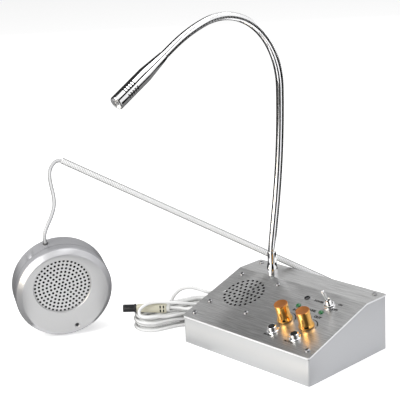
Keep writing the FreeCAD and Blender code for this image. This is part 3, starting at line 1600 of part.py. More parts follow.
def plug():
    """Moulded grip with finger grooves and a tail band, and the ribbed barrel in front of it."""
    place = plug_place()
    length = plug_body_length
    nose = plug_nose_length
    width_share, thickness_share = plug_swell_shares
    body = Part.makeLoft([
        stadium(2 * plug_nose_radius + plug_nose_flat, 2 * plug_nose_radius, 0),
        stadium(plug_body_width * width_share, plug_body_thickness * thickness_share, nose / 2),
        stadium(plug_body_width, plug_body_thickness, nose),
    ], True, False)
    body = body.fuse(Part.Face(stadium(plug_body_width, plug_body_thickness, nose)).extrude(
        Vector(0, 0, length - nose)))
    for i in range(2):
        z = length - plug_grip_length / 2 + i * (plug_groove + plug_groove_gap) - plug_groove_gap
        for side in (-1, 1):
            x = side * (plug_body_thickness / 2 - plug_groove_depth / 2)
            for end in (-1, 1):
                low, high = sorted(end * plug_body_width * share for share in plug_groove_shares)
                body = body.cut(block(x - plug_groove_depth / 2, x + plug_groove_depth / 2, low, high,
                                      z, z + plug_groove))
    band = rod(plug_band_radius, length, length + plug_band_length)
    body = body.fuse(band)
    body.Placement = place
    write("plug_body", body)

    back = 0.0
    front = back - plug_barrel_length
    barrel = rod(plug_barrel_radius, front, back)
    flange = rod(plug_barrel_flange_radius, back - plug_barrel_flange_length, back)
    for i in range(plug_rib_count):
        rib = block(plug_barrel_radius - plug_rib_depth, plug_barrel_radius + overrun, -plug_rib_depth,
                    plug_rib_depth, front + plug_barrel_flange_length, back - plug_barrel_flange_length)
        rib.rotate(ORIGIN, Z_AXIS, 360 * i / plug_rib_count)
        barrel = barrel.cut(rib)
    barrel = barrel.fuse(flange)
    barrel = barrel.cut(rod(plug_barrel_bore, front - overrun, back - 2 * plug_barrel_flange_length))
    barrel = barrel.fuse(rod(plug_pin_radius, front + plug_barrel_flange_length, back - plug_barrel_flange_length))
    barrel.Placement = place
    write("plug_barrel", barrel)


def main():
    case_shell()
    base_plate()
    base_screws()
    top_plate()
    panel_screws()
    loudspeaker()
    for side in volume_xs:
        volume_control(side)
    volume_nuts()
    for side in mute_xs:
        mute_button(side)
    toggle_switch()
    lamps()
    circuit()
    gooseneck()
    locknuts()
    conduit()
    round_speaker()
    speaker_lead()
    power_hank()
    power_leads()
    plug()


main()
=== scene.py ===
# %% [markdown]
# # Teller window intercom
# A desk unit with a sloped brushed panel, a gooseneck microphone, a round speaker for the
# customer's side on an armoured conduit, and a thin white power lead in a hank. The CAD solids are
# the fixed frame. Here each piece that shows gets its real edges, surface and finish.

import json
import math
from contextlib import contextmanager

import bpy
from mathutils import Matrix, Vector

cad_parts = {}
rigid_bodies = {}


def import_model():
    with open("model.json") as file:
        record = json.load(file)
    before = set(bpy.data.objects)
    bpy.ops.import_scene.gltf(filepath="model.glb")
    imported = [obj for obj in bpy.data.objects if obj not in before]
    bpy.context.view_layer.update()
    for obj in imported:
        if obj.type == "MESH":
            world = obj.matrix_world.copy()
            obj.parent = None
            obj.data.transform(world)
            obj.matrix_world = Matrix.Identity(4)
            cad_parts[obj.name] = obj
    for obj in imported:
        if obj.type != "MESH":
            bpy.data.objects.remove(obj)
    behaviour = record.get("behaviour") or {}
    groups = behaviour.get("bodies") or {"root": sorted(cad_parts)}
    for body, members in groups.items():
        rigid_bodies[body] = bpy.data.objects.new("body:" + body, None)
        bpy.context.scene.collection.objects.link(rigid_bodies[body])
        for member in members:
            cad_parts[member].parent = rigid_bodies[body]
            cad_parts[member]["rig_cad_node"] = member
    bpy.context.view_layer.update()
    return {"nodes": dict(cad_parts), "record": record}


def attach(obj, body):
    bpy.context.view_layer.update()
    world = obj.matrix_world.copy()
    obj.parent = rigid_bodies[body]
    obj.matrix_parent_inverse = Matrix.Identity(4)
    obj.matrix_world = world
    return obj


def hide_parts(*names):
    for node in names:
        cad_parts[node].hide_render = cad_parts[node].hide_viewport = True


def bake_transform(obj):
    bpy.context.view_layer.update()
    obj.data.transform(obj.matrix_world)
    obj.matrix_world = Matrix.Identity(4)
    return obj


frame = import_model()
nodes = frame["nodes"]
MM = 0.001

# %% [markdown]
# Blender's operators act on whatever is selected, so every step starts from a clean selection. A
# finished piece keeps its place in its mesh and its object at the origin, as the CAD nodes do.


# %% Small helpers for selecting and finishing
def activate(*pieces):
    """Select these pieces alone; the first is the active one."""
    bpy.ops.object.select_all(action="DESELECT")
    for piece in pieces:
        piece.select_set(True)
    bpy.context.view_layer.objects.active = pieces[0]


def named(name):
    """Name the object that an operator has just made."""
    piece = bpy.context.active_object
    piece.name = name
    piece.data.name = name
    return piece


def deselect():
    bpy.ops.object.select_all(action="DESELECT")


@contextmanager
def editing():
    """The steps inside work on the active piece's mesh, in edit mode."""
    bpy.ops.object.mode_set(mode="EDIT")
    yield
    bpy.ops.object.mode_set(mode="OBJECT")


def face_outward():
    bpy.ops.mesh.select_all(action="SELECT")
    bpy.ops.mesh.normals_make_consistent(inside=False)


def settle(piece, place=None):
    """Move a piece to its place and write that place into its mesh."""
    if place is not None:
        piece.matrix_world = place @ piece.matrix_world
    activate(piece)
    bpy.ops.object.transform_apply(location=True, rotation=True, scale=True)
    return piece


def smooth(piece, degrees=32):
    activate(piece)
    bpy.ops.object.shade_smooth_by_angle(angle=math.radians(degrees))
    return piece


def bevel(piece, width, segments=2, degrees=32):
    """Round every edge sharper than an angle."""
    activate(piece)
    modifier = piece.modifiers.new("edge", "BEVEL")
    modifier.width = width * MM
    modifier.segments = segments
    modifier.limit_method = "ANGLE"
    modifier.angle_limit = math.radians(degrees)
    bpy.ops.object.modifier_apply(modifier=modifier.name)
    return piece


def cut(piece, cutter):
    """Take the cutter's shape out of a piece, then remove the cutter."""
    activate(piece)
    modifier = piece.modifiers.new("cut", "BOOLEAN")
    modifier.operation = "DIFFERENCE"
    modifier.solver = "EXACT"
    modifier.object = cutter
    bpy.ops.object.modifier_apply(modifier=modifier.name)
    bpy.data.objects.remove(cutter)
    return piece


def join(name, pieces):
    activate(*pieces)
    if len(pieces) > 1:
        bpy.ops.object.join()
    return named(name)


def copy_at(piece, place):
    """A copy with a mesh of its own, moved by a matrix."""
    activate(piece)
    bpy.ops.object.duplicate()
    twin = bpy.context.active_object
    return settle(twin, place)


def remove(piece):
    bpy.data.objects.remove(piece)


# %% [markdown]
# Most parts of this object are turned on a lathe. A turned piece grows from a disc: the disc's face
# is extruded to the next height and scaled to the next radius, once for each point of its outline.


# %% Turned, boxed and six-sided pieces
def disc(name, radius, height, segments):
    deselect()
    bpy.ops.mesh.primitive_circle_add(
        vertices=segments, radius=radius * MM, fill_type="NGON", location=(0, 0, height * MM)
    )
    return settle(named(name))


def turned(name, outline, segments=64):
    """A closed round piece from (radius, height) points in millimetres."""
    radius, height = outline[0]
    piece = disc(name, radius, height, segments)
    with editing():
        bpy.ops.mesh.select_all(action="SELECT")
        for next_radius, next_height in outline[1:]:
            middle = (0, 0, next_height * MM)
            rise = (next_height - height) * MM
            share = next_radius / radius
            bpy.ops.mesh.extrude_region_move(TRANSFORM_OT_translate={"value": (0, 0, rise)})
            bpy.ops.transform.resize(value=(share, share, 1), center_override=middle)
            radius, height = next_radius, next_height
        face_outward()
    return piece


def turned_ring(name, outline, segments=64):
    """A round piece with a bore: its outline runs up the outside and down the inside."""
    piece = turned(name, outline + outline[:1], segments)
    delete_faces(piece, lambda face: len(face.vertices) == segments)
    with editing():
        bpy.ops.mesh.select_all(action="SELECT")
        bpy.ops.mesh.remove_doubles(threshold=0.001 * MM)
        face_outward()
    return piece


def select_faces(piece, wanted):
    """Select the faces that pass a test, and nothing else, for the next step in edit mode."""
    activate(piece)
    with editing():
        bpy.ops.mesh.select_mode(type="FACE")
        bpy.ops.mesh.select_all(action="DESELECT")
    for face in piece.data.polygons:
        face.select = wanted(face)


def delete_faces(piece, unwanted):
    select_faces(piece, unwanted)
    with editing():
        bpy.ops.mesh.delete(type="FACE")


def box(name, low, high):
    """A box between two corners in millimetres."""
    deselect()
    middle = [(a + b) / 2 * MM for a, b in zip(low, high)]
    bpy.ops.mesh.primitive_cube_add(size=1, location=middle)
    piece = named(name)
    piece.scale = [(b - a) * MM for a, b in zip(low, high)]
    return settle(piece)


def bar(name, radius, low, high, sides=32, place=None):
    """An upright prism or rod between two heights in millimetres."""
    deselect()
    middle = (low + high) / 2 * MM
    bpy.ops.mesh.primitive_cylinder_add(
        vertices=sides, radius=radius * MM, depth=(high - low) * MM, location=(0, 0, middle)
    )
    return settle(named(name), place)


# %% [markdown]
# Every colour is written as the hex value that a person would pick from a photograph, and one
# function turns it to the linear values that the shader works with.


# %% Colours, nodes and materials
def colour(code):
    """Linear RGBA from an sRGB hex value."""
    linear = []
    for i in (0, 2, 4):
        share = int(code[i : i + 2], 16) / 255
        linear.append(share / 12.92 if share <= 0.04045 else ((share + 0.055) / 1.055) ** 2.4)
    return (*linear, 1.0)


def add_node(tree, kind, settings=None, inputs=None):
    """One shader node, with its settings, and its inputs given as values or as other sockets."""
    node = tree.nodes.new(kind)
    for key, value in (settings or {}).items():
        setattr(node, key, value)
    for key, value in (inputs or {}).items():
        if isinstance(value, bpy.types.NodeSocket):
            tree.links.new(value, node.inputs[key])
        else:
            node.inputs[key].default_value = value
    return node


def material(name, code, metallic=0.0, roughness=0.4, **more):
    """A surface of one colour; words such as coat_weight set the shader's other sockets."""
    surface = bpy.data.materials.new(name)
    surface.use_nodes = True
    shader = surface.node_tree.nodes["Principled BSDF"]
    shader.inputs["Base Color"].default_value = colour(code)
    shader.inputs["Metallic"].default_value = metallic
    shader.inputs["Roughness"].default_value = roughness
    for key, value in more.items():
        shader.inputs[key.replace("_", " ").title()].default_value = value
    return surface


def shader_of(surface):
    return surface.node_tree.nodes["Principled BSDF"]


def stretched_noise(surface, scale, grain, detail=2.0):
    """Noise on Object coordinates; scale gives how fast it runs along each axis."""
    tree = surface.node_tree
    place = add_node(tree, "ShaderNodeTexCoord")
    stretch = add_node(
        tree, "ShaderNodeMapping", {}, {"Vector": place.outputs["Object"], "Scale": scale}
    )
    return add_node(
        tree,
        "ShaderNodeTexNoise",
        {},
        {"Vector": stretch.outputs["Vector"], "Scale": grain, "Detail": detail},
    )


def bump(surface, noise, strength, distance):
    tree = surface.node_tree
    node = add_node(
        tree,
        "ShaderNodeBump",
        {},
        {"Height": noise.outputs["Fac"], "Strength": strength, "Distance": distance * MM},
    )
    tree.links.new(node.outputs["Normal"], shader_of(surface).inputs["Normal"])


def two_tones(surface, value, *stops):
    """Colour a material between two (value, colour) stops."""
    tree = surface.node_tree
    ramp = add_node(tree, "ShaderNodeValToRGB", {}, {"Fac": value})
    for element, (position, code) in zip(ramp.color_ramp.elements, stops):
        element.position = position
        element.color = colour(code)
    tree.links.new(ramp.outputs["Color"], shader_of(surface).inputs["Base Color"])


def painted_rim_shade(surface, face_code, rim_shade_code, start=0.2, end=0.6):
    """Paint shade into a round piece's colour, darker towards its outline."""
    facing = add_node(surface.node_tree, "ShaderNodeLayerWeight", {}, {"Blend": 0.35})
    two_tones(surface, facing.outputs["Facing"], (start, face_code), (end, rim_shade_code))


# %% [markdown]
# The top plate is stainless steel, brushed along its length and lacquered. Brushing leaves grooves
# a few hundredths of a millimetre wide that run left to right. They are too fine for this view, so
# they are drawn about 0.4 mm wide and 30 mm long, as pale and dark streaks with a slight relief.
# The roughness spreads each reflection: a knob leaves a soft smear on the plate, no mirror image.

# %% Brushed steel of the top plate
brushed_steel = material("brushed_stainless_steel", "d0d0d0", 1.0, 0.32)
grooves = stretched_noise(brushed_steel, (0.02, 1.0, 1.0), 2400.0, 3.0)
two_tones(brushed_steel, grooves.outputs["Fac"], (0.36, "aaaaaa"), (0.66, "d8d8d8"))
bump(brushed_steel, grooves, 0.06, 0.05)

# %% [markdown]
# Chrome, gold plate, nickel and zinc are bare metal. They differ in colour and in how sharp their
# reflections are: the last number is the roughness, and a small one gives hard glints.

# %% Bare and plated metals
bright_chrome = material("polished_chrome_plate", "eeeeef", 1.0, 0.06)  # hard black and white
neck_chrome = material("satin_chrome_neck", "f0f0f1", 1.0, 0.1)  # streaks with slightly soft edges
gold_plate = material("polished_gold_plate", "f6bb66", 1.0, 0.1)  # warm glints on deep brown
# painted shade: the knobs' ends take a darker copper copy of the gold; their higher roughness is the
# turned finish
shaded_gold_top = material("turned_shaded_gold_top", "b97742", 1.0, 0.42)  # a dull copper tone on the knobs' ends
zinc_plate = material("zinc_plated_steel", "b8b9ba", 1.0, 0.35)  # plain steel, dull and grey
brass = material("turned_brass", "c9a866", 1.0, 0.3)
screw_nickel = material("nickel_plated_screw", "a0a0a2", 1.0, 0.3)  # heads as grey as the plate
satin_insert = material("satin_nickel_insert", "d4d4d4", 0.6, 0.4)  # the microphone's pale end
black_chrome = material("black_chrome_plate", "5a5a5c", 1.0, 0.2)  # dark ring of the power lamp
# painted highlight: the plate's rim faces are near white for the light that its edge catches
plate_edge_highlight = material("painted_edge_highlight", "f4f4f4", 0.2, 0.5)  # the white line round the plate
# painted shade: near-black walls keep small holes, slots and grooves dark
painted_hole_shade = material("painted_shade_hole_wall", "080808", 0.0, 0.9)  # keeps small holes black

# %% [markdown]
# The case is folded sheet with a baked silver paint: fine aluminium flakes in a clear binder. It
# reads as a pale grey with a wide soft sheen and a faint grain. The round speaker wears a darker,
# more metallic coat.

# %% Painted metal
silver_paint = material("silver_baked_paint", "c3c4c5", 0.1, 0.42)  # pale grey with a broad sheen
bump(silver_paint, stretched_noise(silver_paint, (1.0, 1.0, 1.0), 1800.0), 0.05, 0.05)
speaker_silver = material("satin_silver_paint", "a2a2a5", 0.5, 0.38)  # the round housing's grey
# painted light: the face and the chamfered ring take paler copies of the skirt's and housing's paint
speaker_face_painted_light = material("satin_silver_face_painted_light", "c4c4c4", 0.35, 0.36)  # its paler flat face
speaker_ring_painted_light = material("satin_silver_ring_painted_light", "c6c6c8", 0.5, 0.34)  # bright above, dark below
grille_silver = material("satin_silver_grille", "cccccc", 0.35, 0.4)

# %% [markdown]
# Nothing here is metal. Rubber and paper are rough and dark, moulded plastics have a soft sheen,
# and the lamps' resin has a clear coat for its small glint.

# %% Rubber, plastics, paper and ink
black_rubber = material("black_rubber", "1c1c1c", 0.0, 0.75)
grey_rubber = material("grey_rubber", "4a4a4b", 0.0, 0.6)
ivory_plastic = material("ivory_moulded_abs", "d9d5c0", 0.0, 0.38)  # the plug's yellowed white
white_plastic = material("white_moulded_abs", "eeeeea", 0.0, 0.35)
black_plastic = material("black_moulded_abs", "26272a", 0.0, 0.42)
board_resin = material("green_circuit_board", "1d5c38", 0.0, 0.45)
part_plastic = material("black_component_plastic", "242426", 0.0, 0.5)
cone_paper = material("black_cone_paper", "1a1a1a", 0.0, 0.85)
ferrite = material("dark_ferrite", "3a3a3c", 0.0, 0.6)
green_lens = material("green_lamp_resin", "0f6a35", 0.0, 0.12, coat_weight=0.6)  # unlit, glinting
clear_lens = material("smoked_lamp_resin", "6e7072", 0.0, 0.12, coat_weight=0.6)
label_ink = material("black_screen_ink", "1f1f20", 0.0, 0.5)
# painted shade: a black sheet behind the round grille keeps its holes dark
black_shade_sheet = material("black_grille_shade_sheet", "141414", 0.0, 0.95)  # dark behind the round sheet

# %% [markdown]
# The conduit and the two leads are dull and pale. Painted shade darkens their colour towards their
# edges and draws the thin grey line along each side which sets a white cable off from a white floor.

# %% Sheaths and conduit
conduit_steel = material("coated_conduit_steel", "e4e4e2", 0.0, 0.5)
white_pvc = material("white_pvc_sheath", "e9e9e7", 0.0, 0.32)
lead_pvc = material("silver_grey_pvc_sheath", "c8c8c6", 0.1, 0.3)
for dull_coat in (conduit_steel, white_pvc, lead_pvc):
    shader_of(dull_coat).inputs["Specular IOR Level"].default_value = 0.12
# painted shade: the conduit's and the sheaths' colour darkens towards their outline
painted_rim_shade(conduit_steel, "f8f8f7", "3c3c3a", 0.16, 0.5)
painted_rim_shade(white_pvc, "f6f6f5", "82827f", 0.3, 0.75)
painted_rim_shade(lead_pvc, "d8d8d8", "505050", 0.12, 0.5)


# %% [markdown]
# A piece takes one material here. A second one, for a rim or a bore, is appended where it's needed.


# %% Giving a piece its finish
def finish(piece, surface):
    """Give a piece one material."""
    piece.data.materials.clear()
    piece.data.materials.append(surface)
    return piece


# %% [markdown]
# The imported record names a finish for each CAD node. Each node takes its Blender material from that
# name, so inner pieces that nobody sees are still dressed, and a new piece takes the same material
# as the node that it stands for.

# %% Dress every CAD node from its slot
surface_of_slot = {
    "brushed_steel_plate": brushed_steel,
    "silver_paint": silver_paint,
    "bright_chrome": bright_chrome,
    "neck_chrome": neck_chrome,
    "conduit_steel": conduit_steel,
    "gold_metal": gold_plate,
    "zinc_steel": zinc_plate,
    "brass_metal": brass,
    "speaker_silver": speaker_silver,
    "grille_silver": grille_silver,
    "black_rubber": black_rubber,
    "grey_rubber": grey_rubber,
    "white_pvc": white_pvc,
    "lead_pvc": lead_pvc,
    "ivory_plastic": ivory_plastic,
    "black_plastic": black_plastic,
    "board_green": board_resin,
    "part_black": part_plastic,
    "cone_paper": cone_paper,
    "ferrite": ferrite,
    "green_lens": green_lens,
    "dark_lens": clear_lens,
}
slot_of_node = {row["node"]: row["material_slot"] for row in frame["record"]["subparts"]}
for node_name, node in nodes.items():
    finish(node, surface_of_slot[slot_of_node[node_name]])
body_of_node = {}
for body_name, members in frame["record"]["behaviour"]["bodies"].items():
    for member in members:
        body_of_node[member] = body_name


def stand_for(piece, *node_names, surface=None, degrees=32):
    """Let a finished piece take the place of CAD nodes: same body, same slot, same finish."""
    slot = slot_of_node[node_names[0]]
    if surface is None:
        surface = surface_of_slot[slot]
    if not piece.data.materials:
        finish(piece, surface)
    smooth(piece, degrees)
    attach(piece, body_of_node[node_names[0]])
    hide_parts(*node_names)
    return piece


def clean_copy(node_name, degrees=32):
    """A CAD node's mesh, merged into one skin so that its round faces shade smoothly."""
    activate(nodes[node_name])
    bpy.ops.object.duplicate()
    piece = named(node_name + "_skin")
    piece.parent = None
    del piece["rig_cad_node"]
    with editing():
        bpy.ops.mesh.select_all(action="SELECT")
        bpy.ops.mesh.remove_doubles(threshold=0.002 * MM)
    return stand_for(piece, node_name, degrees=degrees)


# %% [markdown]
# The desk unit's wedge sets every place on it. Its panel has its own axes: x to the right, rise up
# the slope from the front edge, and height square to the panel.

# %% Places on the desk unit
half_width = 90.0
unit_depth = 126.0
front_height = 31.2
back_height = 61.0
strip_depth = 33.6
slope = math.atan2(back_height - front_height, unit_depth - strip_depth)
front_y = -unit_depth / 2
back_y = unit_depth / 2
panel_normal = Vector((0, -math.sin(slope), math.cos(slope)))


def panel_place(x, rise, height=0.0):
    """Matrix that stands a piece on the panel, its own Z along the panel's normal."""
    foot = Vector((x, front_y + rise * math.cos(slope), front_height + rise * math.sin(slope)))
    return Matrix.Translation((foot + panel_normal * height) * MM) @ Matrix.Rotation(slope, 4, "X")


def strip_place(x, y):
    return Matrix.Translation(Vector((x, y, back_height)) * MM)


def direction(heading, climb):
    """Unit vector from a heading round the vertical and an angle above the level."""
    level = math.cos(climb)
    return Vector((level * math.cos(heading), level * math.sin(heading), math.sin(climb)))


def axes_place(point, *axes):
    """Matrix that stands a piece at a point, its own x, y and z along three directions."""
    return Matrix.Translation(point) @ Matrix(axes).transposed().to_4x4()


# %% [markdown]
# The case, base and plate keep the shapes of their solids. The photograph shows the sound holes
# slightly wider than the solids have them, so each hole's wall is spread a little about its own
# middle. The walls' faces are grouped by the corners they share, one group for each hole.


# %% Wider holes
def widen_holes(piece, axis, share):
    """Spread each hole's wall about its own middle; the walls are the faces selected before."""
    home = {}

    def root(corner):
        while home[corner] != corner:
            corner = home[corner]
        return corner

    for face in piece.data.polygons:
        if face.select:
            for corner in face.vertices:
                home.setdefault(corner, corner)
            for corner in face.vertices[1:]:
                home[root(corner)] = root(face.vertices[0])
    holes = {}
    for corner in home:
        holes.setdefault(root(corner), []).append(piece.data.vertices[corner])
    for wall in holes.values():
        middle = sum((corner.co for corner in wall), Vector()) / len(wall)
        for corner in wall:
            outward = corner.co - middle
            corner.co += (outward - axis * outward.dot(axis)) * (share - 1)
    return len(holes)


# %% [markdown]
# The plate's second material is a painted highlight on its sheared rim, and its third is painted
# shade on the walls of its holes. A thin black strip under its front edge is painted shadow in the
# seam.

# %% Case, base and top plate
clean_copy("case_shell")
clean_copy("base_plate")
plate_skin = clean_copy("top_plate", 20)
# painted highlight on the rim faces, painted shade on the hole walls
plate_skin.data.materials.append(plate_edge_highlight)
plate_skin.data.materials.append(painted_hole_shade)
for face in plate_skin.data.polygons:
    rim = (
        abs(face.center.x) > (half_width - 0.2) * MM
        or face.center.y < (front_y + 0.6) * MM
        or face.center.y > (back_y - 0.2) * MM
    )
    if rim and face.normal.z < 0.7:
        face.material_index = 1
    elif not rim and abs(face.normal.z) < 0.7:
        face.material_index = 2

speaker_x, speaker_rise = -51.4, 59.7
sound_field = 27.0
hole_spread = 1.14
sound_middle = panel_place(speaker_x, speaker_rise).translation


def sound_hole_wall(face):
    return face.material_index == 2 and (face.center - sound_middle).length < sound_field * MM


select_faces(plate_skin, sound_hole_wall)
print("sound holes in the plate:", widen_holes(plate_skin, panel_normal, hole_spread))

seam_height, seam_out = 0.4, 0.06
plate_sheet = 1.8
# painted shadow: a thin black strip, finished in the black rubber material, under the plate's front
# edge
seam_shadow_strip = box(
    "plate_seam_shadow",
    (-half_width, front_y - seam_out, front_height - plate_sheet - seam_height),
    (half_width, front_y + 0.5, front_height - plate_sheet),
)
finish(seam_shadow_strip, black_rubber)
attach(seam_shadow_strip, "desk_unit")

# %% [markdown]
# The panel's screws are M3 pan heads with a cross recess, nickel plated. One is modelled: the head
# is turned with a low dome, and two crossed bars cut the recess.

# %% Screws
screw_head_radius = 2.9
screw_head_height = 1.7
screw_radius = 1.5
screw_length = 8.0
recess_width = 0.75
recess_reach = 1.7
recess_depth = 1.1


def pan_screw(name, length):
    top = screw_head_height
    head = screw_head_radius
    piece = turned(
        name,
        [
            (screw_radius, -length),
            (screw_radius, 0.0),
            (head * 0.96, 0.0),
            (head, 0.12),
            (head, top * 0.4),
            (head * 0.93, top * 0.68),
            (head * 0.78, top * 0.88),
            (head * 0.5, top * 0.98),
            (head * 0.2, top),
        ],
        32,
    )
    half = recess_width / 2
    for x, y in ((recess_reach, half), (half, recess_reach)):
        cut(piece, box("recess", (-x, -y, top - recess_depth), (x, y, top + 1)))
    return piece


screw = pan_screw("screw", screw_length)
half_spacing = 54.587 / 2
corner_x = 81.0
corner_rise = 9.4
slope_screws = [(-corner_x, corner_rise), (corner_x, corner_rise)]
for x_side in (-half_spacing, half_spacing):
    for rise_side in (-half_spacing, half_spacing):
        slope_screws.append((speaker_x + x_side, speaker_rise + rise_side))
screw_turns = (12, 50, 75, 33, 61, 5)
screws = []
for (x, rise), degrees in zip(slope_screws, screw_turns):
    turn = Matrix.Rotation(math.radians(degrees), 4, "Z")
    screws.append(copy_at(screw, panel_place(x, rise) @ turn))
strip_screw_y = back_y - 8.5
for x, degrees in ((-corner_x, 20), (corner_x, 66)):
    turn = Matrix.Rotation(math.radians(degrees), 4, "Z")
    screws.append(copy_at(screw, strip_place(x, strip_screw_y) @ turn))
remove(screw)
panel_screws = finish(join("panel_screw_set", screws), screw_nickel)
stand_for(panel_screws, "panel_screws")
print("screws on the panel:", len(screws))

# %% [markdown]
# The volume knobs are turned brass, polished and gold plated: a slim waist, a foot that flares out
# to the panel, and a top with a fine edge and a shallow dish. A fine groove marks where each
# points. The dished top was turned, not polished, so it is rougher than the sides; its darker copper
# tone is painted shade.

# %% Volume knobs
knob_xs = {"inside": 24.8, "outside": 54.5}
knob_rise = 40.8
knob_height = 20.3
knob_foot = 0.5
knob_index = {"inside": -7, "outside": 90}
index_low, index_high = (7.05, -0.3, 8.0), (9.0, 0.3, 22.0)
edge_height = 20.1
dish_height, dish_radius = 19.7, 6.4
knob_outline = [
    (7.8, knob_foot),
    (8.3, knob_foot + 0.15),
    (8.5, knob_foot + 0.5),
    (8.5, knob_foot + 1.2),
    (8.25, 2.2),
    (7.85, 3.3),
    (7.5, 4.6),
    (7.28, 5.9),
    (7.2, 7.2),
    (7.21, 9.0),
    (7.4, 19.0),
    (7.45, 19.6),
    (7.35, 20.0),
    (7.05, 20.25),
    (6.75, knob_height),
    (6.2, 20.2),
    (4.0, 19.95),
    (1.0, 19.85),
]
for side, x in knob_xs.items():
    knob = turned(side + "_volume_knob_turned", knob_outline, 72)
    finish(knob, gold_plate)
    knob.data.materials.append(shaded_gold_top)
    # painted shade: the dished top takes the darker copy of the gold
    for face in knob.data.polygons:
        height, radius = face.center.z / MM, face.center.xy.length / MM
        if height > edge_height or (height > dish_height and radius < dish_radius):
            face.material_index = 1
    groove = box("index", index_low, index_high)
    settle(groove, Matrix.Rotation(math.radians(knob_index[side]), 4, "Z"))
    cut(knob, groove)
    settle(knob, panel_place(x, knob_rise))
    stand_for(knob, side + "_volume_knob", degrees=40)

# %% [markdown]
# The mute buttons are chromed caps in chromed bushings. The bushing's lip is rounded, and a fine
# dark gap runs round the cap.

# %% Mute buttons
mute_xs = {"inside": 25.0, "outside": 55.5}
mute_rise = 20.5
switch_half, switch_low, switch_top = 6.3, -16.8, -9.8
pin_low = -19.2
mute_cap = [
    (4.7, -5.0),
    (4.7, 4.7),
    (4.62, 5.1),
    (4.35, 5.4),
    (3.9, 5.55),
    (2.0, 5.6),
    (0.5, 5.6),
]
mute_bushing = [
    (4.76, -9.0),
    (5.6, -9.0),
    (5.6, 0.0),
    (6.2, 0.0),
    (6.3, 0.15),
    (6.3, 0.65),
    (6.05, 0.95),
    (5.6, 1.1),
    (5.0, 1.1),
    (4.76, 0.9),
]
for side, x in mute_xs.items():
    cap = settle(turned(side + "_mute_cap", mute_cap, 48), panel_place(x, mute_rise))
    stand_for(cap, side + "_mute_button", degrees=12)
    bushing = turned_ring(side + "_mute_bushing", mute_bushing, 48)
    switch_box = box(
        "switch", (-switch_half, -switch_half, switch_low), (switch_half, switch_half, switch_top)
    )
    finish(switch_box, black_plastic)
    pins = []
    for pin_x in (-3.15, 3.15):
        pins.append(box("pin", (pin_x - 0.4, -0.8, pin_low), (pin_x + 0.4, 0.8, switch_low)))
    switch_floor = bar("floor", 5.6, switch_top, -9.0)
    finish(bushing, bright_chrome)
    for metal_piece in pins + [switch_floor]:
        finish(metal_piece, bright_chrome)
    bevel(switch_box, 0.4)
    whole = join(side + "_mute_switch_body", [bushing, switch_floor, switch_box] + pins)
    stand_for(settle(whole, panel_place(x, mute_rise)), side + "_mute_switch")

# %% [markdown]
# The power switch is a miniature toggle: a threaded bushing through the panel, a washer and a hex
# nut that hold it, and a lever that swells towards its round tip. The thread is drawn as rings.

# %% Power toggle
toggle_x, toggle_rise = 55.8, 77.5
toggle_lean = 13.0
toggle_pivot = 5.0
bush_radius, bush_height = 3.2, 8.6
thread_pitch = 0.62
thread_depth = 0.22
case_top, case_low, terminal_low = -1.8, -11.3, -14.8
toggle_place = panel_place(toggle_x, toggle_rise)

bush_outline = [(bush_radius, case_top)]
ridge = 0.0
while ridge < bush_height - thread_pitch:
    bush_outline.append((bush_radius - thread_depth, ridge))
    bush_outline.append((bush_radius, ridge + thread_pitch / 2))
    ridge += thread_pitch
bush_outline += [
    (bush_radius - 0.35, bush_height),
    (2.8, bush_height),
    (2.5, bush_height - 0.4),
    (2.5, 3.04),
    (0.3, 3.04),
]
toggle_bush = turned("toggle_bush", bush_outline, 40)
toggle_case = bevel(box("toggle_case", (-4.0, -6.5, case_low), (4.0, 6.5, case_top)), 0.3)
finish(toggle_case, black_plastic)
toggle_parts = [toggle_bush, toggle_case]
finish(toggle_bush, bright_chrome)
for y in (-4.7, 0.0, 4.7):
    terminal = box("terminal", (-0.4, y - 1.0, terminal_low), (0.4, y + 1.0, case_low))
    toggle_parts.append(finish(terminal, bright_chrome))
toggle_body = settle(join("toggle_switch_body", toggle_parts), toggle_place)
stand_for(toggle_body, "toggle_body")

nut_width = 10.8
nut_low, nut_high = 0.7, 3.3
nut = bar("toggle_hex", nut_width / math.sqrt(3), nut_low, nut_high, 6)
settle(nut, Matrix.Rotation(math.radians(30), 4, "Z"))
cut(nut, bar("bore", bush_radius, -1, 9))
nut = bevel(nut, 0.25)
washer_outline = [
    (bush_radius, 0.0),
    (6.2, 0.0),
    (6.4, 0.2),
    (6.4, 0.55),
    (6.2, 0.7),
    (bush_radius, 0.7),
]
washer = turned_ring("toggle_washer", washer_outline, 48)
toggle_nut = settle(join("toggle_nut_washer", [nut, washer]), toggle_place)
stand_for(toggle_nut, "toggle_nut")

lever_outline = [
    (0.4, -1.85),
    (1.2, -1.45),
    (1.75, -0.75),
    (1.9, 0.0),
    (1.75, 0.75),
    (1.5, 1.3),
    (1.45, 1.9),
    (1.46, 4.5),
    (1.56, 9.5),
    (1.75, 15.4),
    (1.75, 16.6),
    (1.6, 17.4),
    (1.2, 17.9),
    (0.6, 18.16),
    (0.15, 18.2),
]
lever_pivot = Matrix.Translation((0, 0, toggle_pivot * MM))
lever_lean = lever_pivot @ Matrix.Rotation(math.radians(toggle_lean), 4, "X")
lever = settle(turned("toggle_bat", lever_outline, 32), toggle_place @ lever_lean)
stand_for(lever, "toggle_lever")

# %% [markdown]
# The talk lamps are 5 mm green LEDs: a domed resin body with a thin flange under the plate. The
# power lamp is a small clear one in a dark ring.

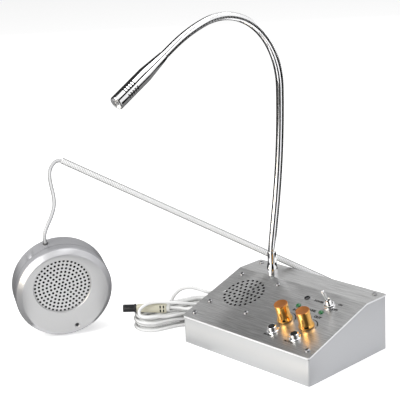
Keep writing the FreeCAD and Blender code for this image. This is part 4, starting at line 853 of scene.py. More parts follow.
# %% Lamps
talk_lamp_places = [(23.2, 65.3), (54.2, 65.3)]
lamp_outline = [
    (3.0, -6.8),
    (3.0, -2.8),
    (3.5, -2.8),
    (3.5, -1.8),
    (3.0, -1.8),
    (3.0, 0.2),
    (2.9, 0.8),
    (2.5, 1.3),
    (1.8, 1.62),
    (0.9, 1.78),
    (0.2, 1.8),
]
lamps = []
for x, rise in talk_lamp_places:
    lamps.append(settle(turned("talk_lamp", lamp_outline, 32), panel_place(x, rise)))
stand_for(join("talk_lamp_pair", lamps), "talk_lamps")
finish(clean_copy("power_lamp_bezel"), black_chrome)
clean_copy("power_lamp")

# %% [markdown]
# The gooseneck stands in a chromed ferrule: a short drum, a cone and a slim collar. Its nut is
# under the plate.

# %% Gooseneck ferrule
neck_x, neck_y = -48.6, 37.7
neck_foot_z = 87.0
ferrule_outline = [
    (5.0, -8.0),
    (5.0, 0.0),
    (6.4, 0.0),
    (6.6, 0.25),
    (6.6, 5.4),
    (6.45, 6.3),
    (6.0, 8.0),
    (5.55, 9.8),
    (5.2, 11.6),
    (5.02, 13.0),
    (5.0, 14.0),
    (5.0, 24.4),
    (4.92, 25.0),
    (4.75, 25.5),
    (4.5, 25.85),
    (4.35, 25.8),
    (4.32, 24.8),
]
ferrule = settle(turned("neck_ferrule_turned", ferrule_outline, 56), strip_place(neck_x, neck_y))
stand_for(ferrule, "neck_ferrule")

# %% [markdown]
# The gooseneck is a steel spiral with a second wire wound into it, so its skin is a row of fine
# ribs. Its line is a straight foot and three arcs that tighten and open again. The functions here
# give the place and the direction at any distance along that line.

# %% The neck's line
neck_radius = 4.3
neck_lean = math.radians(10.39)
neck_spans = [
    (30.0 * neck_lean, -30.0),
    (40.0, 0.0),
    (813.0 * math.radians(9.62), 813.0),
    (86.3 * math.radians(105.17), 86.3),
    (186.65 * math.radians(15.48), 186.65),
    (13.61, 0.0),
]
neck_length = sum(span for span, radius in neck_spans)


def neck_at(distance):
    """Forward and upward place on the neck's line, and the angle from upright to the front."""
    forward, up, angle = 0.0, neck_foot_z, 0.0
    for span, radius in neck_spans:
        step = min(span, distance)
        if radius:
            turn = step / radius
            forward += radius * (math.cos(angle) - math.cos(angle + turn))
            up += radius * (math.sin(angle + turn) - math.sin(angle))
            angle += turn
        else:
            forward += step * math.sin(angle)
            up += step * math.cos(angle)
        distance -= step
        if distance <= 0:
            break
    return forward, up, angle


def neck_point(distance):
    forward, up, angle = neck_at(distance)
    return Vector((neck_x, neck_y - forward, up))


def neck_place(distance):
    """Matrix whose Z runs along the neck at a distance from its foot."""
    forward, up, angle = neck_at(distance)
    return Matrix.Translation(neck_point(distance) * MM) @ Matrix.Rotation(angle, 4, "X")


def guide_curve(name, points):
    """A fine poly curve through points in millimetres, to bend other pieces along."""
    data = bpy.data.curves.new(name, "CURVE")
    data.dimensions = "3D"
    line = data.splines.new("POLY")
    line.points.add(len(points) - 1)
    for point, corner in zip(line.points, points):
        point.co = (*(corner * MM), 1.0)
    guide = bpy.data.objects.new(name, data)
    bpy.context.scene.collection.objects.link(guide)
    return guide


# %% [markdown]
# One rib is turned, an Array modifier repeats it into a straight ribbed tube, and a Curve modifier
# lays the tube along the neck's line. Three stretches flex; they keep their place and are attached to
# no body.

# %% Ribbed stretches of the neck
rib_pitch = 2.3
rib_groove = 0.35
guide_step = 1.0


def rib_stack(name, radius, groove, pitch, length, segments):
    """A straight ribbed tube along X, made of one rib and an Array modifier."""
    count = max(1, round(length / pitch))
    step = length / count
    low = radius - groove
    crest_start, crest_end, foot_end = step * 0.08, step * 0.82, step * 0.9
    outline = [(low, 0.0), (radius, crest_start), (radius, crest_end), (low, foot_end), (low, step)]
    rib = turned(name, outline, segments)
    delete_faces(rib, lambda face: len(face.vertices) == segments)
    settle(rib, Matrix.Rotation(math.pi / 2, 4, "Y"))
    activate(rib)
    array = rib.modifiers.new("ribs", "ARRAY")
    array.count = count
    array.use_relative_offset = False
    array.use_constant_offset = True
    array.constant_offset_displace = (step * MM, 0, 0)
    array.use_merge_vertices = True
    array.merge_threshold = 0.002 * MM
    bpy.ops.object.modifier_apply(modifier=array.name)
    return rib, count


def cap_ends(piece):
    """Close the two open ends of a tube."""
    activate(piece)
    with editing():
        bpy.ops.mesh.select_mode(type="EDGE")
        bpy.ops.mesh.select_all(action="DESELECT")
        bpy.ops.mesh.select_non_manifold()
        bpy.ops.mesh.fill_holes(sides=0)
        face_outward()


def lay_along(piece, points):
    """Bend a piece that runs along X from the origin onto a line of points."""
    guide = guide_curve("guide", points)
    guide.data.twist_mode = "MINIMUM"
    activate(piece)
    bend = piece.modifiers.new("bend", "CURVE")
    bend.object = guide
    bend.deform_axis = "POS_X"
    bpy.ops.object.modifier_apply(modifier=bend.name)
    remove(guide)
    return piece


def neck_stretch(name, start, end):
    length = end - start
    piece, count = rib_stack(name, neck_radius, rib_groove, rib_pitch, length, 28)
    cap_ends(piece)
    steps = max(2, round(length / guide_step))
    points = [neck_point(start + length * i / steps) for i in range(steps + 1)]
    return lay_along(piece, points), count


mid_end = sum(span for span, radius in neck_spans[:3])
mid_flex_length, mic_flex_length = 18.0, 16.5
flex_marks = {
    "low": (26.0, 42.0),
    "mid": (mid_end - mid_flex_length, mid_end),
    "mic": (neck_length - mic_flex_length, neck_length),
}
stretches = [
    ("neck_lower", -0.4, flex_marks["low"][0]),
    ("neck_low_flex", *flex_marks["low"]),
    ("neck_middle", flex_marks["low"][1], flex_marks["mid"][0]),
    ("neck_mid_flex", *flex_marks["mid"]),
    ("neck_upper", flex_marks["mid"][1], flex_marks["mic"][0]),
    ("neck_mic_flex", *flex_marks["mic"]),
]
flex_bodies = {
    "neck_low_flex": ("desk_unit", "neck_stem", "low"),
    "neck_mid_flex": ("neck_stem", "neck_bow", "mid"),
    "neck_mic_flex": ("neck_bow", "microphone", "mic"),
}
rib_total = 0
for node_name, start, end in stretches:
    piece, count = neck_stretch(node_name + "_ribbed", max(start, 0.0), end)
    rib_total += count
    if node_name in flex_bodies:
        below, above, mark = flex_bodies[node_name]
        finish(piece, neck_chrome)
        smooth(piece, 30)
        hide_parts(node_name)
        low, high = flex_marks[mark]
        tuple(neck_point(low) * MM)
        tuple(neck_point(high) * MM)
        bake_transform(piece)
    else:
        stand_for(piece, node_name, degrees=30)
print("ribs on the neck:", rib_total)

# %% [markdown]
# The microphone is a chromed brass sleeve. It swells from a narrow tail to a straight barrel, and
# six groups of short slots round the barrel let sound out behind the capsule. The slots are cut by
# thin bars that stop short of the axis. The capsule's insert closes the front.

# %% Microphone
mic_length = 73.1
mic_front = 7.35
mic_rear = 4.7
mic_wall = 1.1
mic_taper = 30.0
mic_outline = [
    (2.3, 0.0),
    (mic_rear - 0.5, 0.0),
    (mic_rear, 0.5),
    (mic_front - 0.04, mic_taper - 1.0),
    (mic_front, mic_taper + 1.0),
    (mic_front, mic_length - 1.0),
    (mic_front - 0.15, mic_length - 0.4),
    (mic_front - 0.5, mic_length),
    (mic_front - mic_wall, mic_length),
    (mic_front - mic_wall, mic_taper),
    (mic_rear - mic_wall, 6.0),
    (2.3, 6.0),
]
sleeve = turned_ring("mic_sleeve_turned", mic_outline, 72)
slot_columns, slot_rows = 6, 5
slot_pitch = 3.2
slot_width = 1.5
slot_middle = mic_length - 19.0
slot_half = 2.3
slot_inner, slot_outer = 5.6, 9.0
slot_bars = []
for column in range(slot_columns):
    for row in range(slot_rows):
        low = slot_middle + (row - (slot_rows - 1) / 2) * slot_pitch - slot_width / 2
        high = low + slot_width
        slot_bar = box("slot", (slot_inner, -slot_half, low), (slot_outer, slot_half, high))
        turn = Matrix.Rotation(2 * math.pi * column / slot_columns, 4, "Z")
        slot_bars.append(settle(slot_bar, turn))
cut(sleeve, join("slots", slot_bars))
finish(sleeve, surface_of_slot[slot_of_node["mic_sleeve"]])
sleeve.data.materials.append(painted_hole_shade)
slot_reach = slot_pitch * slot_rows / 2
skin = 0.1
# painted shade on the walls of the slots
for face in sleeve.data.polygons:
    radius = face.center.xy.length / MM
    in_wall = mic_front - mic_wall + skin < radius < mic_front - skin
    if in_wall and abs(face.center.z / MM - slot_middle) < slot_reach:
        face.material_index = 1
settle(sleeve, neck_place(neck_length))
stand_for(sleeve, "mic_sleeve", degrees=30)
finish(clean_copy("mic_capsule"), satin_insert)
print("slots in the sleeve:", slot_columns * slot_rows)

# %% [markdown]
# The armoured conduit is a wound and coated steel strip with shallow ribs. It starts at a gland in
# the back wall, bends round and runs straight up past the neck to the customer's side.

# %% Conduit and its gland
gland_x, gland_z = 40.4, 15.85
conduit_radius = 3.5
bend_distance = 63.4
bend_radius = 27.0
conduit_length = 402.4
heading, climb = math.radians(216.0), math.radians(25.12)
conduit_way = direction(heading, climb)
conduit_corner = Vector((gland_x, back_y + bend_distance, gland_z))
conduit_end = conduit_corner + conduit_way * conduit_length
grip = 5.0
gland_length = 11.0

bend_start = Vector((gland_x, back_y + gland_length - grip, gland_z))
turn_angle = math.pi - (bend_start - conduit_corner).angle(conduit_way)
tangent = bend_radius * math.tan(turn_angle / 2)
arc_start = conduit_corner - Vector((0, tangent, 0))
arc_end = conduit_corner + conduit_way * tangent
inward = ((arc_start - conduit_corner).normalized() + conduit_way).normalized()
arc_centre = conduit_corner + inward * (bend_radius / math.cos(turn_angle / 2))
joint_point = arc_end + conduit_way * grip

bend_points = [bend_start]
arc_steps = 40
spoke = arc_start - arc_centre
axle = spoke.cross(arc_end - arc_centre).normalized()
for i in range(arc_steps + 1):
    bend_points.append(arc_centre + Matrix.Rotation(turn_angle * i / arc_steps, 3, axle) @ spoke)
bend_points.append(joint_point)
bend_length = (arc_start - bend_start).length + bend_radius * turn_angle + grip

conduit_pitch = 2.0
conduit_groove = 0.28
conduit_rib = (conduit_radius, conduit_groove, conduit_pitch)
flex, flex_ribs = rib_stack("conduit_flex_ribbed", *conduit_rib, bend_length, 20)
cap_ends(flex)
lay_along(flex, bend_points)
finish(flex, conduit_steel)
smooth(flex, 30)
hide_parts("conduit_flex")
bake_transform(flex)

arm_length = (conduit_end - joint_point).length
arm, arm_ribs = rib_stack("conduit_arm_ribbed", *conduit_rib, arm_length, 20)
cap_ends(arm)
lay_along(arm, [joint_point, joint_point + conduit_way * arm_length / 2, conduit_end])
stand_for(arm, "conduit_arm", degrees=30)
clean_copy("conduit_gland")
clean_copy("power_gland")
print("ribs on the conduit:", flex_ribs + arm_ribs)

# %% [markdown]
# The customer's speaker is a round shell in two halves. The front half has a flat face, a wide
# chamfer and a short skirt; the rear half closes it behind a fine seam. Its own axes are: z out of
# the face, y towards the lead, x across.

# %% Round speaker's place
disc_heading, disc_tilt, disc_roll = math.radians(-27.4), math.radians(-7.8), math.radians(15.3)
disc_radius = 54.3
disc_normal = direction(disc_heading, disc_tilt)
disc_level = Vector((-math.sin(disc_heading), math.cos(disc_heading), 0))
disc_upright = disc_normal.cross(disc_level)
disc_across = disc_level * math.cos(disc_roll) + disc_upright * math.sin(disc_roll)
disc_up = disc_upright * math.cos(disc_roll) - disc_level * math.sin(disc_roll)
disc_centre = Vector((-202.8, -137.5, disc_radius * math.cos(disc_tilt)))
disc_place = axes_place(disc_centre * MM, disc_across, disc_up, disc_normal)

# %% [markdown]
# The front shell is turned, and its two openings are bored and given a narrow chamfer. Its flat
# face, and the sloping ring between it and the skirt, carry paler copies of the skirt's paint:
# painted light.
# A black sheet behind the perforated sheet is painted shade that keeps its holes dark.

# %% Round speaker's front, grille and housing
face_height = 6.9
skirt_height = 0.6
ring_radius = 47.7
grille_offset, grille_radius = 10.7, 31.8
talk_hole_y, talk_hole_radius = -42.1, 2.1
chamfer = 0.9
overlap = 0.1
front_outline = [
    (52.3, -9.0),
    (53.9, -9.0),
    (54.3, -8.7),
    (54.3, -1.2),
    (54.2, -0.5),
    (53.9, 0.2),
    (53.4, 0.9),
    (49.0, 6.0),
    (48.4, 6.6),
    (47.6, face_height),
    (2.0, face_height),
    (2.0, 4.9),
    (46.4, 4.9),
    (52.3, -2.0),
    (52.3, -8.9),
]
front = turned("speaker_front_turned", front_outline, 128)
at_grille = Matrix.Translation((0, grille_offset * MM, 0))
at_talk_hole = Matrix.Translation((0, talk_hole_y * MM, 0))
cut(front, bar("opening", grille_radius, 3.0, 9.0, 128, at_grille))
cut(front, bar("talk", talk_hole_radius, 0.0, 9.0, 32, at_talk_hole))
for radius, place in ((grille_radius, at_grille), (talk_hole_radius, at_talk_hole)):
    narrow_end = (radius - overlap, face_height - chamfer - overlap)
    wide_end = (radius + chamfer + overlap, face_height + overlap)
    cut(front, settle(turned("countersink", [narrow_end, wide_end], 128), place))
finish(front, speaker_silver)
front.data.materials.append(speaker_face_painted_light)
front.data.materials.append(speaker_ring_painted_light)
# painted light: the face and the ring take the paler copies of the paint
for face in front.data.polygons:
    if face.center.z > skirt_height * MM:
        on_ring = face.center.xy.length > ring_radius * MM
        face.material_index = 2 if on_ring else 1
settle(front, disc_place)
stand_for(front, "round_speaker_front", degrees=28)
grille_skin = clean_copy("round_speaker_grille")
# painted shade on the walls of the sheet's holes
grille_skin.data.materials.append(painted_hole_shade)
grille_axis_point = (disc_centre + disc_up * grille_offset) * MM
for face in grille_skin.data.polygons:
    from_axis = face.center - grille_axis_point
    from_axis -= disc_normal * from_axis.dot(disc_normal)
    if abs(face.normal.dot(disc_normal)) < 0.5 and from_axis.length < (grille_radius - 1.0) * MM:
        face.material_index = 1
select_faces(grille_skin, lambda face: face.material_index == 1)
print("holes in the round sheet:", widen_holes(grille_skin, disc_normal, hole_spread))
# painted shade: a black disc behind the perforated sheet
shade_sheet_radius, shade_sheet_low, shade_sheet_high = 31.7, 4.2, 4.36
shade_sheet = bar("speaker_shade_sheet", shade_sheet_radius, shade_sheet_low, shade_sheet_high, 96, at_grille)
finish(shade_sheet, black_shade_sheet)
settle(shade_sheet, disc_place)
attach(shade_sheet, "customer_speaker")
clean_copy("round_speaker_housing", 28)
clean_copy("round_speaker_grommet")

# %% [markdown]
# The power lead is a thin white two-core sheath, wound into a hank of long loops. It is one curve
# from the grommet in the back wall, through the hank's eight turns, to the plug. The route's points
# are the same as in the solid model.

# %% Leads
lead_radius = 1.9
speaker_lead_radius = 1.95
hank_centre = Vector((-143.5, -26.4, 0.0))
hank_heading = math.radians(72.0)
hank_half_run = 30.0
hank_outer = 20.0
hank_pitch = 4.4
hank_turns_per_layer = 2
hank_layers = 4
hank_lead_in = 16.0
floor_clearance = 0.1

power_route = [
    (-62.0, 60.6, 34.0),
    (-62.0, 88.0, 34.0),
    (-68.0, 101.0, 34.0),
    (-81.0, 107.0, 33.8),
    (-95.0, 101.0, 33.6),
    (-103.0, 86.0, 33.2),
    (-106.0, 66.0, 32.6),
    (-106.0, 44.0, 32.0),
    (-106.5, 22.0, 32.0),
    (-108.9, -3.2, 34.0),
    (-127.9, -8.0, 38.0),
    (-135.7, -14.3, 38.5),
    (-143.7, -18.3, 35.0),
    (-148.8, -22.8, 28.0),
    (-149.7, -26.9, 21.5),
    (-147.0, -35.5, 19.6),
    (-137.5, -38.0, 19.5),
    (-127.0, -33.5, 19.4),
    (-119.0, -24.0, 19.4),
    (-117.0, -11.0, 19.4),
    (-119.5, 3.0, 19.4),
    (-120.0, 17.0, 19.8),
    (-116.3, 26.0, 20.2),
    (-107.2, 29.8, 20.8),
    (-98.2, 26.0, 21.4),
    (-94.4, 16.0, 22.2),
    (-97.0, 1.0, 23.6),
    (-112.4, -21.6, 25.6),
    (-119.9, -33.1, 28.6),
    (-127.1, -44.1, 31.4),
    (-142.5, -55.4, 31.8),
    (-149.1, -65.2, 30.4),
    (-153.2, -72.9, 24.6),
    (-149.2, -76.4, 19.2),
    (-139.4, -74.9, 19.2),
    (-133.8, -65.1, 19.1),
]
plug_route = [
    (-116.5, -26.0, 2.0),
    (-103.5, -17.0, 2.6),
    (-96.5, -2.0, 5.0),
    (-96.0, 15.0, 8.5),
    (-102.0, 30.0, 12.5),
    (-113.5, 37.5, 16.0),
    (-124.0, 32.0, 19.2),
    (-128.0, 19.0, 20.6),
    (-124.0, 7.0, 21.8),
    (-115.5, -4.5, 25.4),
    (-107.5, -12.5, 29.8),
    (-99.5, -20.0, 31.4),
    (-96.2, -30.0, 30.0),
    (-104.5, -38.0, 27.4),
    (-115.0, -38.4, 24.8),
]
speaker_route = [
    (-257.8, -97.2, 185.8),
    (-257.0, -103.8, 179.4),
    (-252.3, -108.8, 172.0),
    (-243.8, -113.6, 164.2),
    (-235.0, -117.8, 156.4),
    (-226.4, -123.6, 147.4),
    (-220.8, -132.6, 138.0),
    (-219.6, -142.4, 126.6),
]


def hank_point(along, across, height):
    forward = Vector((math.cos(hank_heading), math.sin(hank_heading), 0))
    left = Vector((-math.sin(hank_heading), math.cos(hank_heading), 0))
    return hank_centre + forward * along + left * across + Vector((0, 0, height))


def hank_runs():
    """Every straight run from the top layer down: side, offset and the heights of its two ends."""
    step = hank_pitch / 2
    runs = []
    offset = hank_outer
    inward_now = True
    for layer in range(hank_layers - 1, -1, -1):
        height = lead_radius + floor_clearance + layer * hank_pitch
        first = 0 if layer == hank_layers - 1 else 1
        for i in range(first, 2 * hank_turns_per_layer):
            runs.append((-1 if i % 2 == 0 else 1, offset, height, height))
            offset += -step if inward_now else step
        below = height - hank_pitch if layer else height
        runs.append((-1, offset, height, below))
        offset += step if inward_now else -step
        inward_now = not inward_now
    return runs


def hank_points():
    """Control points of the hank: a few on each run and six round each half turn."""
    corners = 6
    points = []
    runs = hank_runs()
    for i, (side, offset, z0, z1) in enumerate(runs):
        ahead = -side
        start, finish_at = -ahead * hank_half_run, ahead * hank_half_run
        if i == 0:
            start += ahead * hank_lead_in
        if i == len(runs) - 1:
            finish_at -= ahead * (2 * hank_half_run - hank_lead_in)
        for share in (0.0, 0.3, 0.7, 1.0):
            if i == len(runs) - 1 and share == 0.3:
                continue
            height = z0 + (z1 - z0) * (0.0 if share < 0.5 else 1.0)
            points.append(hank_point(start + (finish_at - start) * share, side * offset, height))
        if i < len(runs) - 1:
            next_offset = runs[i + 1][1]
            radius = (offset + next_offset) / 2
            centre = side * (offset - next_offset) / 2
            reach = radius / math.cos(math.pi / corners / 2)
            for k in range(corners):
                angle = math.pi * (k + 0.5) / corners
                along = finish_at + ahead * reach * math.sin(angle)
                across = centre + side * reach * math.cos(angle)
                points.append(hank_point(along, across, z1))
    return points


def lead(name, points, radius, surface):
    """A round lead as one smooth curve with its real thickness."""
    data = bpy.data.curves.new(name, "CURVE")
    data.dimensions = "3D"
    data.resolution_u = 6
    data.bevel_depth = radius * MM
    data.bevel_resolution = 4
    data.use_fill_caps = True
    line = data.splines.new("NURBS")
    line.points.add(len(points) - 1)
    for point, corner in zip(line.points, points):
        point.co = (*(Vector(corner) * MM), 1.0)
    line.order_u = 3
    line.use_endpoint_u = True
    data.materials.append(surface)
    piece = bpy.data.objects.new(name, data)
    bpy.context.scene.collection.objects.link(piece)
    return piece


# %% [markdown]
# The plug lies on the hank and sets where the lead ends. With that, the whole lead is laid as one
# curve.

# %% The plug's place and the whole power cord
plug_point = Vector((-162.7, -69.1, 23.2))
plug_heading = math.radians(42.0)
plug_length = 35.6
band_length = 3.2
plug_axis = Vector((math.cos(plug_heading), math.sin(plug_heading), 0))
plug_side = Vector((-math.sin(plug_heading), math.cos(plug_heading), 0))
plug_place = axes_place(plug_point * MM, plug_side, Vector((0, 0, 1)), plug_axis)
plug_tail = plug_point + plug_axis * (plug_length + band_length)
low_layer = lead_radius + floor_clearance
top_layer = low_layer + (hank_layers - 1) * hank_pitch
hank_in = hank_point(-hank_half_run + hank_lead_in - 4 * lead_radius, -hank_outer, top_layer)
hank_out = hank_point(-hank_half_run + hank_lead_in + 4 * lead_radius, -hank_outer, low_layer)
power_points = [Vector(point) for point in power_route] + [hank_in] + hank_points() + [hank_out]
power_points += [Vector(point) for point in plug_route]
power_points += [plug_tail + plug_axis * (5 * lead_radius), plug_tail]
power_cord = lead("power_cord", power_points, lead_radius, white_pvc)

# %% [markdown]
# The plug is a moulded grip in ivory plastic: flat oval, tapered at its nose, with two pairs of
# finger grooves and a white band at its tail. In front of it sits a black ribbed barrel.

# %% Plug
body_width, body_thickness = 11.6, 9.6
half_wide, half_thick = body_width / 2, body_thickness / 2
nose_shares = (0.84, 0.72, 1)
groove_starts = (plug_length - 8.1, plug_length - 4.4)
groove_runs = ((-4.0, -0.6), (0.6, 4.0))
groove_width, groove_depth = 1.5, 0.7
plug_body = box("plug_grip", (-half_thick, -half_wide, 0.0), (half_thick, half_wide, plug_length))
select_faces(plug_body, lambda face: face.normal.z < -0.9)
with editing():
    bpy.ops.transform.resize(value=nose_shares, center_override=(0, 0, 0))
bevel(plug_body, 2.6, 5, 60)
for x_side in (-1, 1):
    x0, x1 = sorted((x_side * (half_thick - groove_depth), x_side * (half_thick + 1.0)))
    for groove_z in groove_starts:
        for y0, y1 in groove_runs:
            cut(plug_body, box("groove", (x0, y0, groove_z), (x1, y1, groove_z + groove_width)))
finish(plug_body, ivory_plastic)
# painted shade in the finger grooves
plug_body.data.materials.append(painted_hole_shade)
for face in plug_body.data.polygons:
    x, y, z = face.center / MM
    beside_grooves = plug_length - 8.3 < z < plug_length - 2.8
    if beside_grooves and abs(x) < half_thick - 0.3 and abs(y) < 4.1:
        face.material_index = 1
band_outline = [
    (4.4, plug_length - 0.5),
    (4.4, plug_length + 2.7),
    (4.1, plug_length + band_length),
    (1.95, plug_length + 3.1),
]
band = finish(turned("plug_band", band_outline, 32), white_plastic)
plug_whole = settle(join("plug_moulding", [plug_body, band]), plug_place)
stand_for(plug_whole, "plug_body")
barrel_skin = clean_copy("plug_barrel")
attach(power_cord, "desk_unit")
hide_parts("power_lead", "power_lead_hank", "plug_lead")

# %% [markdown]
# The speaker lead leaves the conduit's open end, folds over and drops in a lazy S to the grommet in
# the speaker's rim.

# %% Speaker lead
lead_grip = 9.0
rim_entry = disc_centre + disc_up * (disc_radius + 1.8) - disc_normal * 19.0
rim_inside = disc_centre + disc_up * (disc_radius - 2.0) - disc_normal * 19.0
speaker_points = [conduit_end - conduit_way * lead_grip, conduit_end + conduit_way * 2.8]
speaker_points += [Vector(point) for point in speaker_route]
speaker_points += [rim_entry + disc_up * 6.0, rim_inside]
speaker_cord = lead("speaker_cord", speaker_points, speaker_lead_radius, lead_pvc)
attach(speaker_cord, "customer_speaker")
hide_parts("speaker_lead")

# %% [markdown]
# The panel's words and scales are screen printed in black ink, and only plain control words are
# printed. Each is a text object turned into a mesh, a few hundredths of a millimetre proud of the
# plate. The offset thickens its strokes as wet ink does.


# %% Printed words and volume scales
print_thickness = 0.03


def printed(word, x, rise, size):
    deselect()
    bpy.ops.object.text_add()
    text = bpy.context.active_object
    text.data.body = word
    text.data.size = size
    text.data.align_x = "CENTER"
    text.data.align_y = "CENTER"
    text.data.extrude = print_thickness
    text.data.offset = 0.075 * size
    bpy.ops.object.convert(target="MESH")
    piece = bpy.context.active_object
    piece.scale = (MM, MM, MM)
    settle(piece)
    return settle(piece, panel_place(x, rise, print_thickness))


words = [
    ("POWER", 40.0, 79.8, 3.5),
    ("ON", 65.8, 83.7, 3.2),
    ("OFF", 65.2, 74.7, 3.8),
    ("VOLUME", 39.8, 64.2, 4.0),
    ("IN", 24.0, 57.8, 4.0),
    ("OUT", 56.0, 57.2, 4.2),
    ("MUTE IN", 24.5, 12.4, 2.7),
    ("MUTE OUT", 54.5, 12.3, 2.9),
]
prints = [printed(*word) for word in words]

scale_radius = 11.4
scale_start, scale_end = math.radians(118.0), math.radians(20.0)
scale_thin, scale_thick = 0.25, 1.9
scale_segments = 96
end_mark_angle = math.radians(6.0)
end_mark_radius = 0.8


def widen_circle(share, middle):
    """Turn the circle that was just made into a flat ring."""
    with editing():
        bpy.ops.mesh.select_all(action="SELECT")
        bpy.ops.mesh.extrude_edges_move()
        bpy.ops.transform.resize(value=(share, share, 1), center_override=middle)


def volume_scale(x):
    """A crescent that thickens clockwise round a knob, cut from a flat ring and then tapered."""
    deselect()
    bpy.ops.mesh.primitive_circle_add(
        vertices=scale_segments, radius=scale_radius * MM, fill_type="NOTHING"
    )
    crescent = named("volume_scale")
    widen_circle(0.9, (0, 0, 0))
    delete_faces(
        crescent,
        lambda face: not scale_end < math.atan2(face.center.y, face.center.x) < scale_start,
    )
    for corner in crescent.data.vertices:
        outer = corner.co.length > 0.95 * scale_radius * MM
        share = (scale_start - math.atan2(corner.co.y, corner.co.x)) / (scale_start - scale_end)
        half = (scale_thin + (scale_thick - scale_thin) * share) / 2
        corner.co = corner.co.normalized() * (scale_radius + (half if outer else -half)) * MM
    activate(crescent)
    with editing():
        face_outward()
    mark_at = Vector((math.cos(end_mark_angle), math.sin(end_mark_angle), 0)) * scale_radius * MM
    mark = settle(disc("end_mark", end_mark_radius, 0.0, 20), Matrix.Translation(mark_at))
    whole = join("volume_scale", [crescent, mark])
    return settle(whole, panel_place(x, knob_rise, 2 * print_thickness))


prints += [volume_scale(x) for x in knob_xs.values()]
label_set = finish(join("panel_words", prints), label_ink)
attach(label_set, "desk_unit")

# %% [markdown]
# ## Stage
# The floor is a pale sheet that glows a little for the camera and the metals, so that it reads as
# the photograph's white. Photographers shape chrome with black and grey cards outside the picture,
# because polished metal shows nothing but its surroundings. Cards do the same here, and only
# reflections see them.

# %% Floor
def seen_by(tree, *rays):
    """A socket that is 1 for the named kinds of ray and 0 for all others."""
    path = add_node(tree, "ShaderNodeLightPath")
    seen = path.outputs[rays[0]]
    for ray in rays[1:]:
        either = {0: seen, 1: path.outputs[ray]}
        seen = add_node(tree, "ShaderNodeMath", {"operation": "MAXIMUM"}, either).outputs["Value"]
    return seen


deselect()
bpy.ops.mesh.primitive_plane_add(size=12)
floor = named("floor")
floor_surface = material("white_floor", "f4f4f4", 0.0, 0.9)
floor_tree = floor_surface.node_tree
paper = shader_of(floor_surface).outputs["BSDF"]
glow = add_node(floor_tree, "ShaderNodeEmission", {}, {"Color": colour("ffffff"), "Strength": 0.5})
paper_and_glow = {0: paper, 1: glow.outputs["Emission"]}
bright_paper = add_node(floor_tree, "ShaderNodeAddShader", {}, paper_and_glow)
shown_as = add_node(
    floor_tree,
    "ShaderNodeMixShader",
    {},
    {
        "Fac": seen_by(floor_tree, "Is Camera Ray", "Is Glossy Ray"),
        1: paper,
        2: bright_paper.outputs["Shader"],
    },
)
floor_output = floor_tree.nodes["Material Output"]
floor_tree.links.new(shown_as.outputs["Shader"], floor_output.inputs["Surface"])
finish(floor, floor_surface)

# %% [markdown]
# The world is the studio's white. It lights the object at less than half of the strength at which
# the camera and the reflections see it.

# %% World
soft_fill, full_white = 0.45, 1.0
world = bpy.data.worlds.new("white_studio")
bpy.context.scene.world = world
world.use_nodes = True
world_tree = world.node_tree
in_sight = seen_by(world_tree, "Is Camera Ray", "Is Glossy Ray", "Is Transmission Ray")
strength = add_node(
    world_tree,
    "ShaderNodeMapRange",
    {},
    {"Value": in_sight, "To Min": soft_fill, "To Max": full_white},
)
background = world_tree.nodes["Background"]
background.inputs["Color"].default_value = (1, 1, 1, 1)
world_tree.links.new(strength.outputs["Result"], background.inputs["Strength"])

# %% [markdown]
# Two large soft boxes give the light, from the front and from above. A faint one brightens the
# round speaker's face, and a weak cool one tints the right side. The cards are dark, grey or lit.
# They hang round the scene, stand near the microphone or lie on the floor, and each puts one
# streak into the chrome.


# %% Lights and cards
def aimed(location, target):
    """Matrix of something at a location that faces a target."""
    way = Vector(target) - Vector(location)
    return Matrix.Translation(location) @ way.to_track_quat("-Z", "Y").to_matrix().to_4x4()


def soft_box(name, location, target, size, watts, code="ffffff"):
    data = bpy.data.lights.new(name, "AREA")
    data.shape = "RECTANGLE"
    data.size, data.size_y = size
    data.energy = watts
    data.color = colour(code)[:3]
    lamp = bpy.data.objects.new(name, data)
    bpy.context.scene.collection.objects.link(lamp)
    lamp.matrix_world = aimed(location, target)
    return lamp


soft_box("front_key", (-0.5, -1.9, 1.5), (0, 0, 0.08), (1.2, 1.0), 27)
soft_box("top_fill", (0.2, 0.3, 2.2), (0, 0, 0), (1.6, 1.6), 19)
face_fill = soft_box("face_fill", (1.5, -1.0, 0.35), (-0.2, -0.14, 0.06), (0.8, 0.6), 3)
cool_side = soft_box("cool_side", (1.6, 0.9, 0.5), (0.09, 0, 0.03), (0.8, 0.8), 1.6, "a4b0ff")
for hidden_lamp in (face_fill, cool_side):
    hidden_lamp.visible_glossy = False


def reflections_only(sheet, tone, strength=1.0):
    """Let only reflections see a card, as one flat tone. Above 1 it is a lit white panel."""
    surface = material(sheet.name + "_board", tone, 0.0, 0.9)
    tree = surface.node_tree
    flat = add_node(tree, "ShaderNodeEmission", {}, {"Color": colour(tone), "Strength": strength})
    tree.links.new(flat.outputs["Emission"], tree.nodes["Material Output"].inputs["Surface"])
    finish(sheet, surface)
    sheet.visible_camera = False
    sheet.visible_diffuse = False
    sheet.visible_shadow = False
    sheet.visible_transmission = False
    sheet.visible_volume_scatter = False
    return sheet


def card_sheet(name, width, height):
    deselect()
    bpy.ops.mesh.primitive_plane_add(size=1)
    sheet = named(name)
    sheet.scale = (width, height, 1)
    bpy.ops.object.transform_apply(location=False, rotation=False, scale=True)
    return sheet


camera_side = 46.6


def hung_card(name, turn, elevation, distance, width, height, tone, strength=1.0):
    """A card that faces the desk unit; turn runs from the camera's side to its right."""
    sheet = card_sheet(name, width, height)
    heading = math.radians(camera_side + turn - 90)
    place = direction(heading, math.radians(elevation)) * distance
    sheet.matrix_world = aimed(place, (0, 0, 0.05))
    return reflections_only(sheet, tone, strength)


fan_blades = 72
fan_radius = 5.8
fan_height = 0.0005


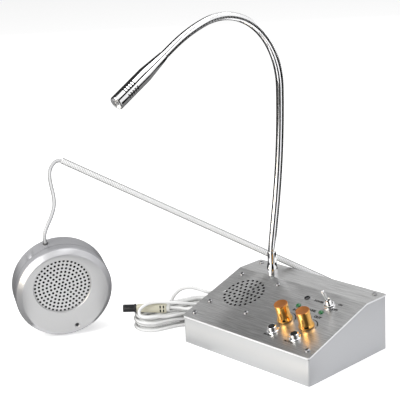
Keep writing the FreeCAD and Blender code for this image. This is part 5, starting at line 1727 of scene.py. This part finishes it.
def floor_card(name, start, end, tone, clear=0.28):
    """A fan of card on the floor round the neck, between two turns from the camera's side."""
    deselect()
    foot = (neck_x * MM, neck_y * MM, fan_height)
    bpy.ops.mesh.primitive_circle_add(
        vertices=fan_blades, radius=fan_radius, fill_type="NOTHING", location=foot
    )
    sheet = named(name)
    widen_circle(clear / fan_radius, foot)

    def outside(face):
        turn = math.degrees(math.atan2(face.center.x, -face.center.y)) - camera_side
        return not any(start < turn + whole < end for whole in (-360, 0, 360))

    delete_faces(sheet, outside)
    return reflections_only(sheet, tone)


mic_axis = (neck_place(neck_length).to_3x3() @ Vector((0, 0, 1))).normalized()
mic_middle = (neck_point(neck_length) + mic_axis * mic_length / 2) * MM
towards_camera = Vector((0.6985, -0.6598, 0.2773))
mic_facing = (towards_camera - mic_axis * towards_camera.dot(mic_axis)).normalized()
mic_flank = mic_axis.cross(mic_facing)


def mic_card(name, degrees, distance, width, length, slide, tone):
    """A card beside the microphone; degrees run round it from the camera's side."""
    angle = math.radians(degrees)
    outward = mic_facing * math.cos(angle) + mic_flank * math.sin(angle)
    middle = mic_middle + outward * distance + mic_axis * slide
    sheet = card_sheet(name, width, length)
    sheet.matrix_world = axes_place(middle, mic_axis.cross(outward), mic_axis, outward)
    return reflections_only(sheet, tone)


hung_card("card_behind_camera", 3, 24, 2.6, 2.2, 2.2, "161616")
hung_card("card_back_low", 180, 14, 2.6, 2.6, 1.3, "d4d4d4")
hung_card("card_high_left", -164.2, 45.5, 1.6, 0.62, 0.36, "3e3e3e")
hung_card("card_lit_left", -62, 14, 2.2, 1.05, 0.9, "fff4e0", 7.0)
hung_card("card_lit_right", 66, 36, 2.2, 1.0, 1.0, "ffffff", 1.8)
mic_card("mic_card_flank", 120, 0.12, 0.3, 0.32, -0.08, "343434")
mic_card("mic_card_under", -118, 0.08, 0.12, 0.16, 0.0, "808080")
mic_card("mic_card_line", 2, 0.3, 0.12, 0.5, -0.14, "0c0c0c")
floor_card("floor_card_front", -26, 22, "141414", 0.17)
floor_card("floor_card_near_left", -180, -100, "141414", 0.08)
floor_card("floor_card_back_left", -180, -62, "242424")
floor_card("floor_card_back_right", 54, 180, "101010")

speaker_card = card_sheet("floor_card_speaker", 0.24, 0.3)
speaker_card.location = (-0.17, 0.05, 2 * fan_height)
reflections_only(speaker_card, "202020")

# %% [markdown]
# ## Camera
# The camera stands where the photograph's did: at the right front of the desk unit, a little above
# it, with a slight roll.

# %% Camera
view_azimuth, view_elevation = math.radians(46.63), math.radians(16.096)
view_roll = math.radians(-2.864)
camera_spot = (0.77946, -0.85059, 0.49968)
photo_pixels = 400
focal_pixels = 1147.615
sensor_width = 36.0
view_back = direction(view_azimuth - math.pi / 2, view_elevation)
level_right = (-view_back).cross(Vector((0, 0, 1))).normalized()
level_up = level_right.cross(-view_back)
view_right = level_right * math.cos(view_roll) + level_up * math.sin(view_roll)
view_up = level_up * math.cos(view_roll) - level_right * math.sin(view_roll)
camera_data = bpy.data.cameras.new("camera")
camera_data.sensor_width = sensor_width
camera_data.lens = focal_pixels * sensor_width / photo_pixels
camera_data.clip_start = 0.01
camera = bpy.data.objects.new("camera", camera_data)
bpy.context.scene.collection.objects.link(camera)
camera.matrix_world = axes_place(camera_spot, view_right, view_up, view_back)
bpy.context.scene.camera = camera
bpy.context.scene.view_settings.view_transform = "Standard"
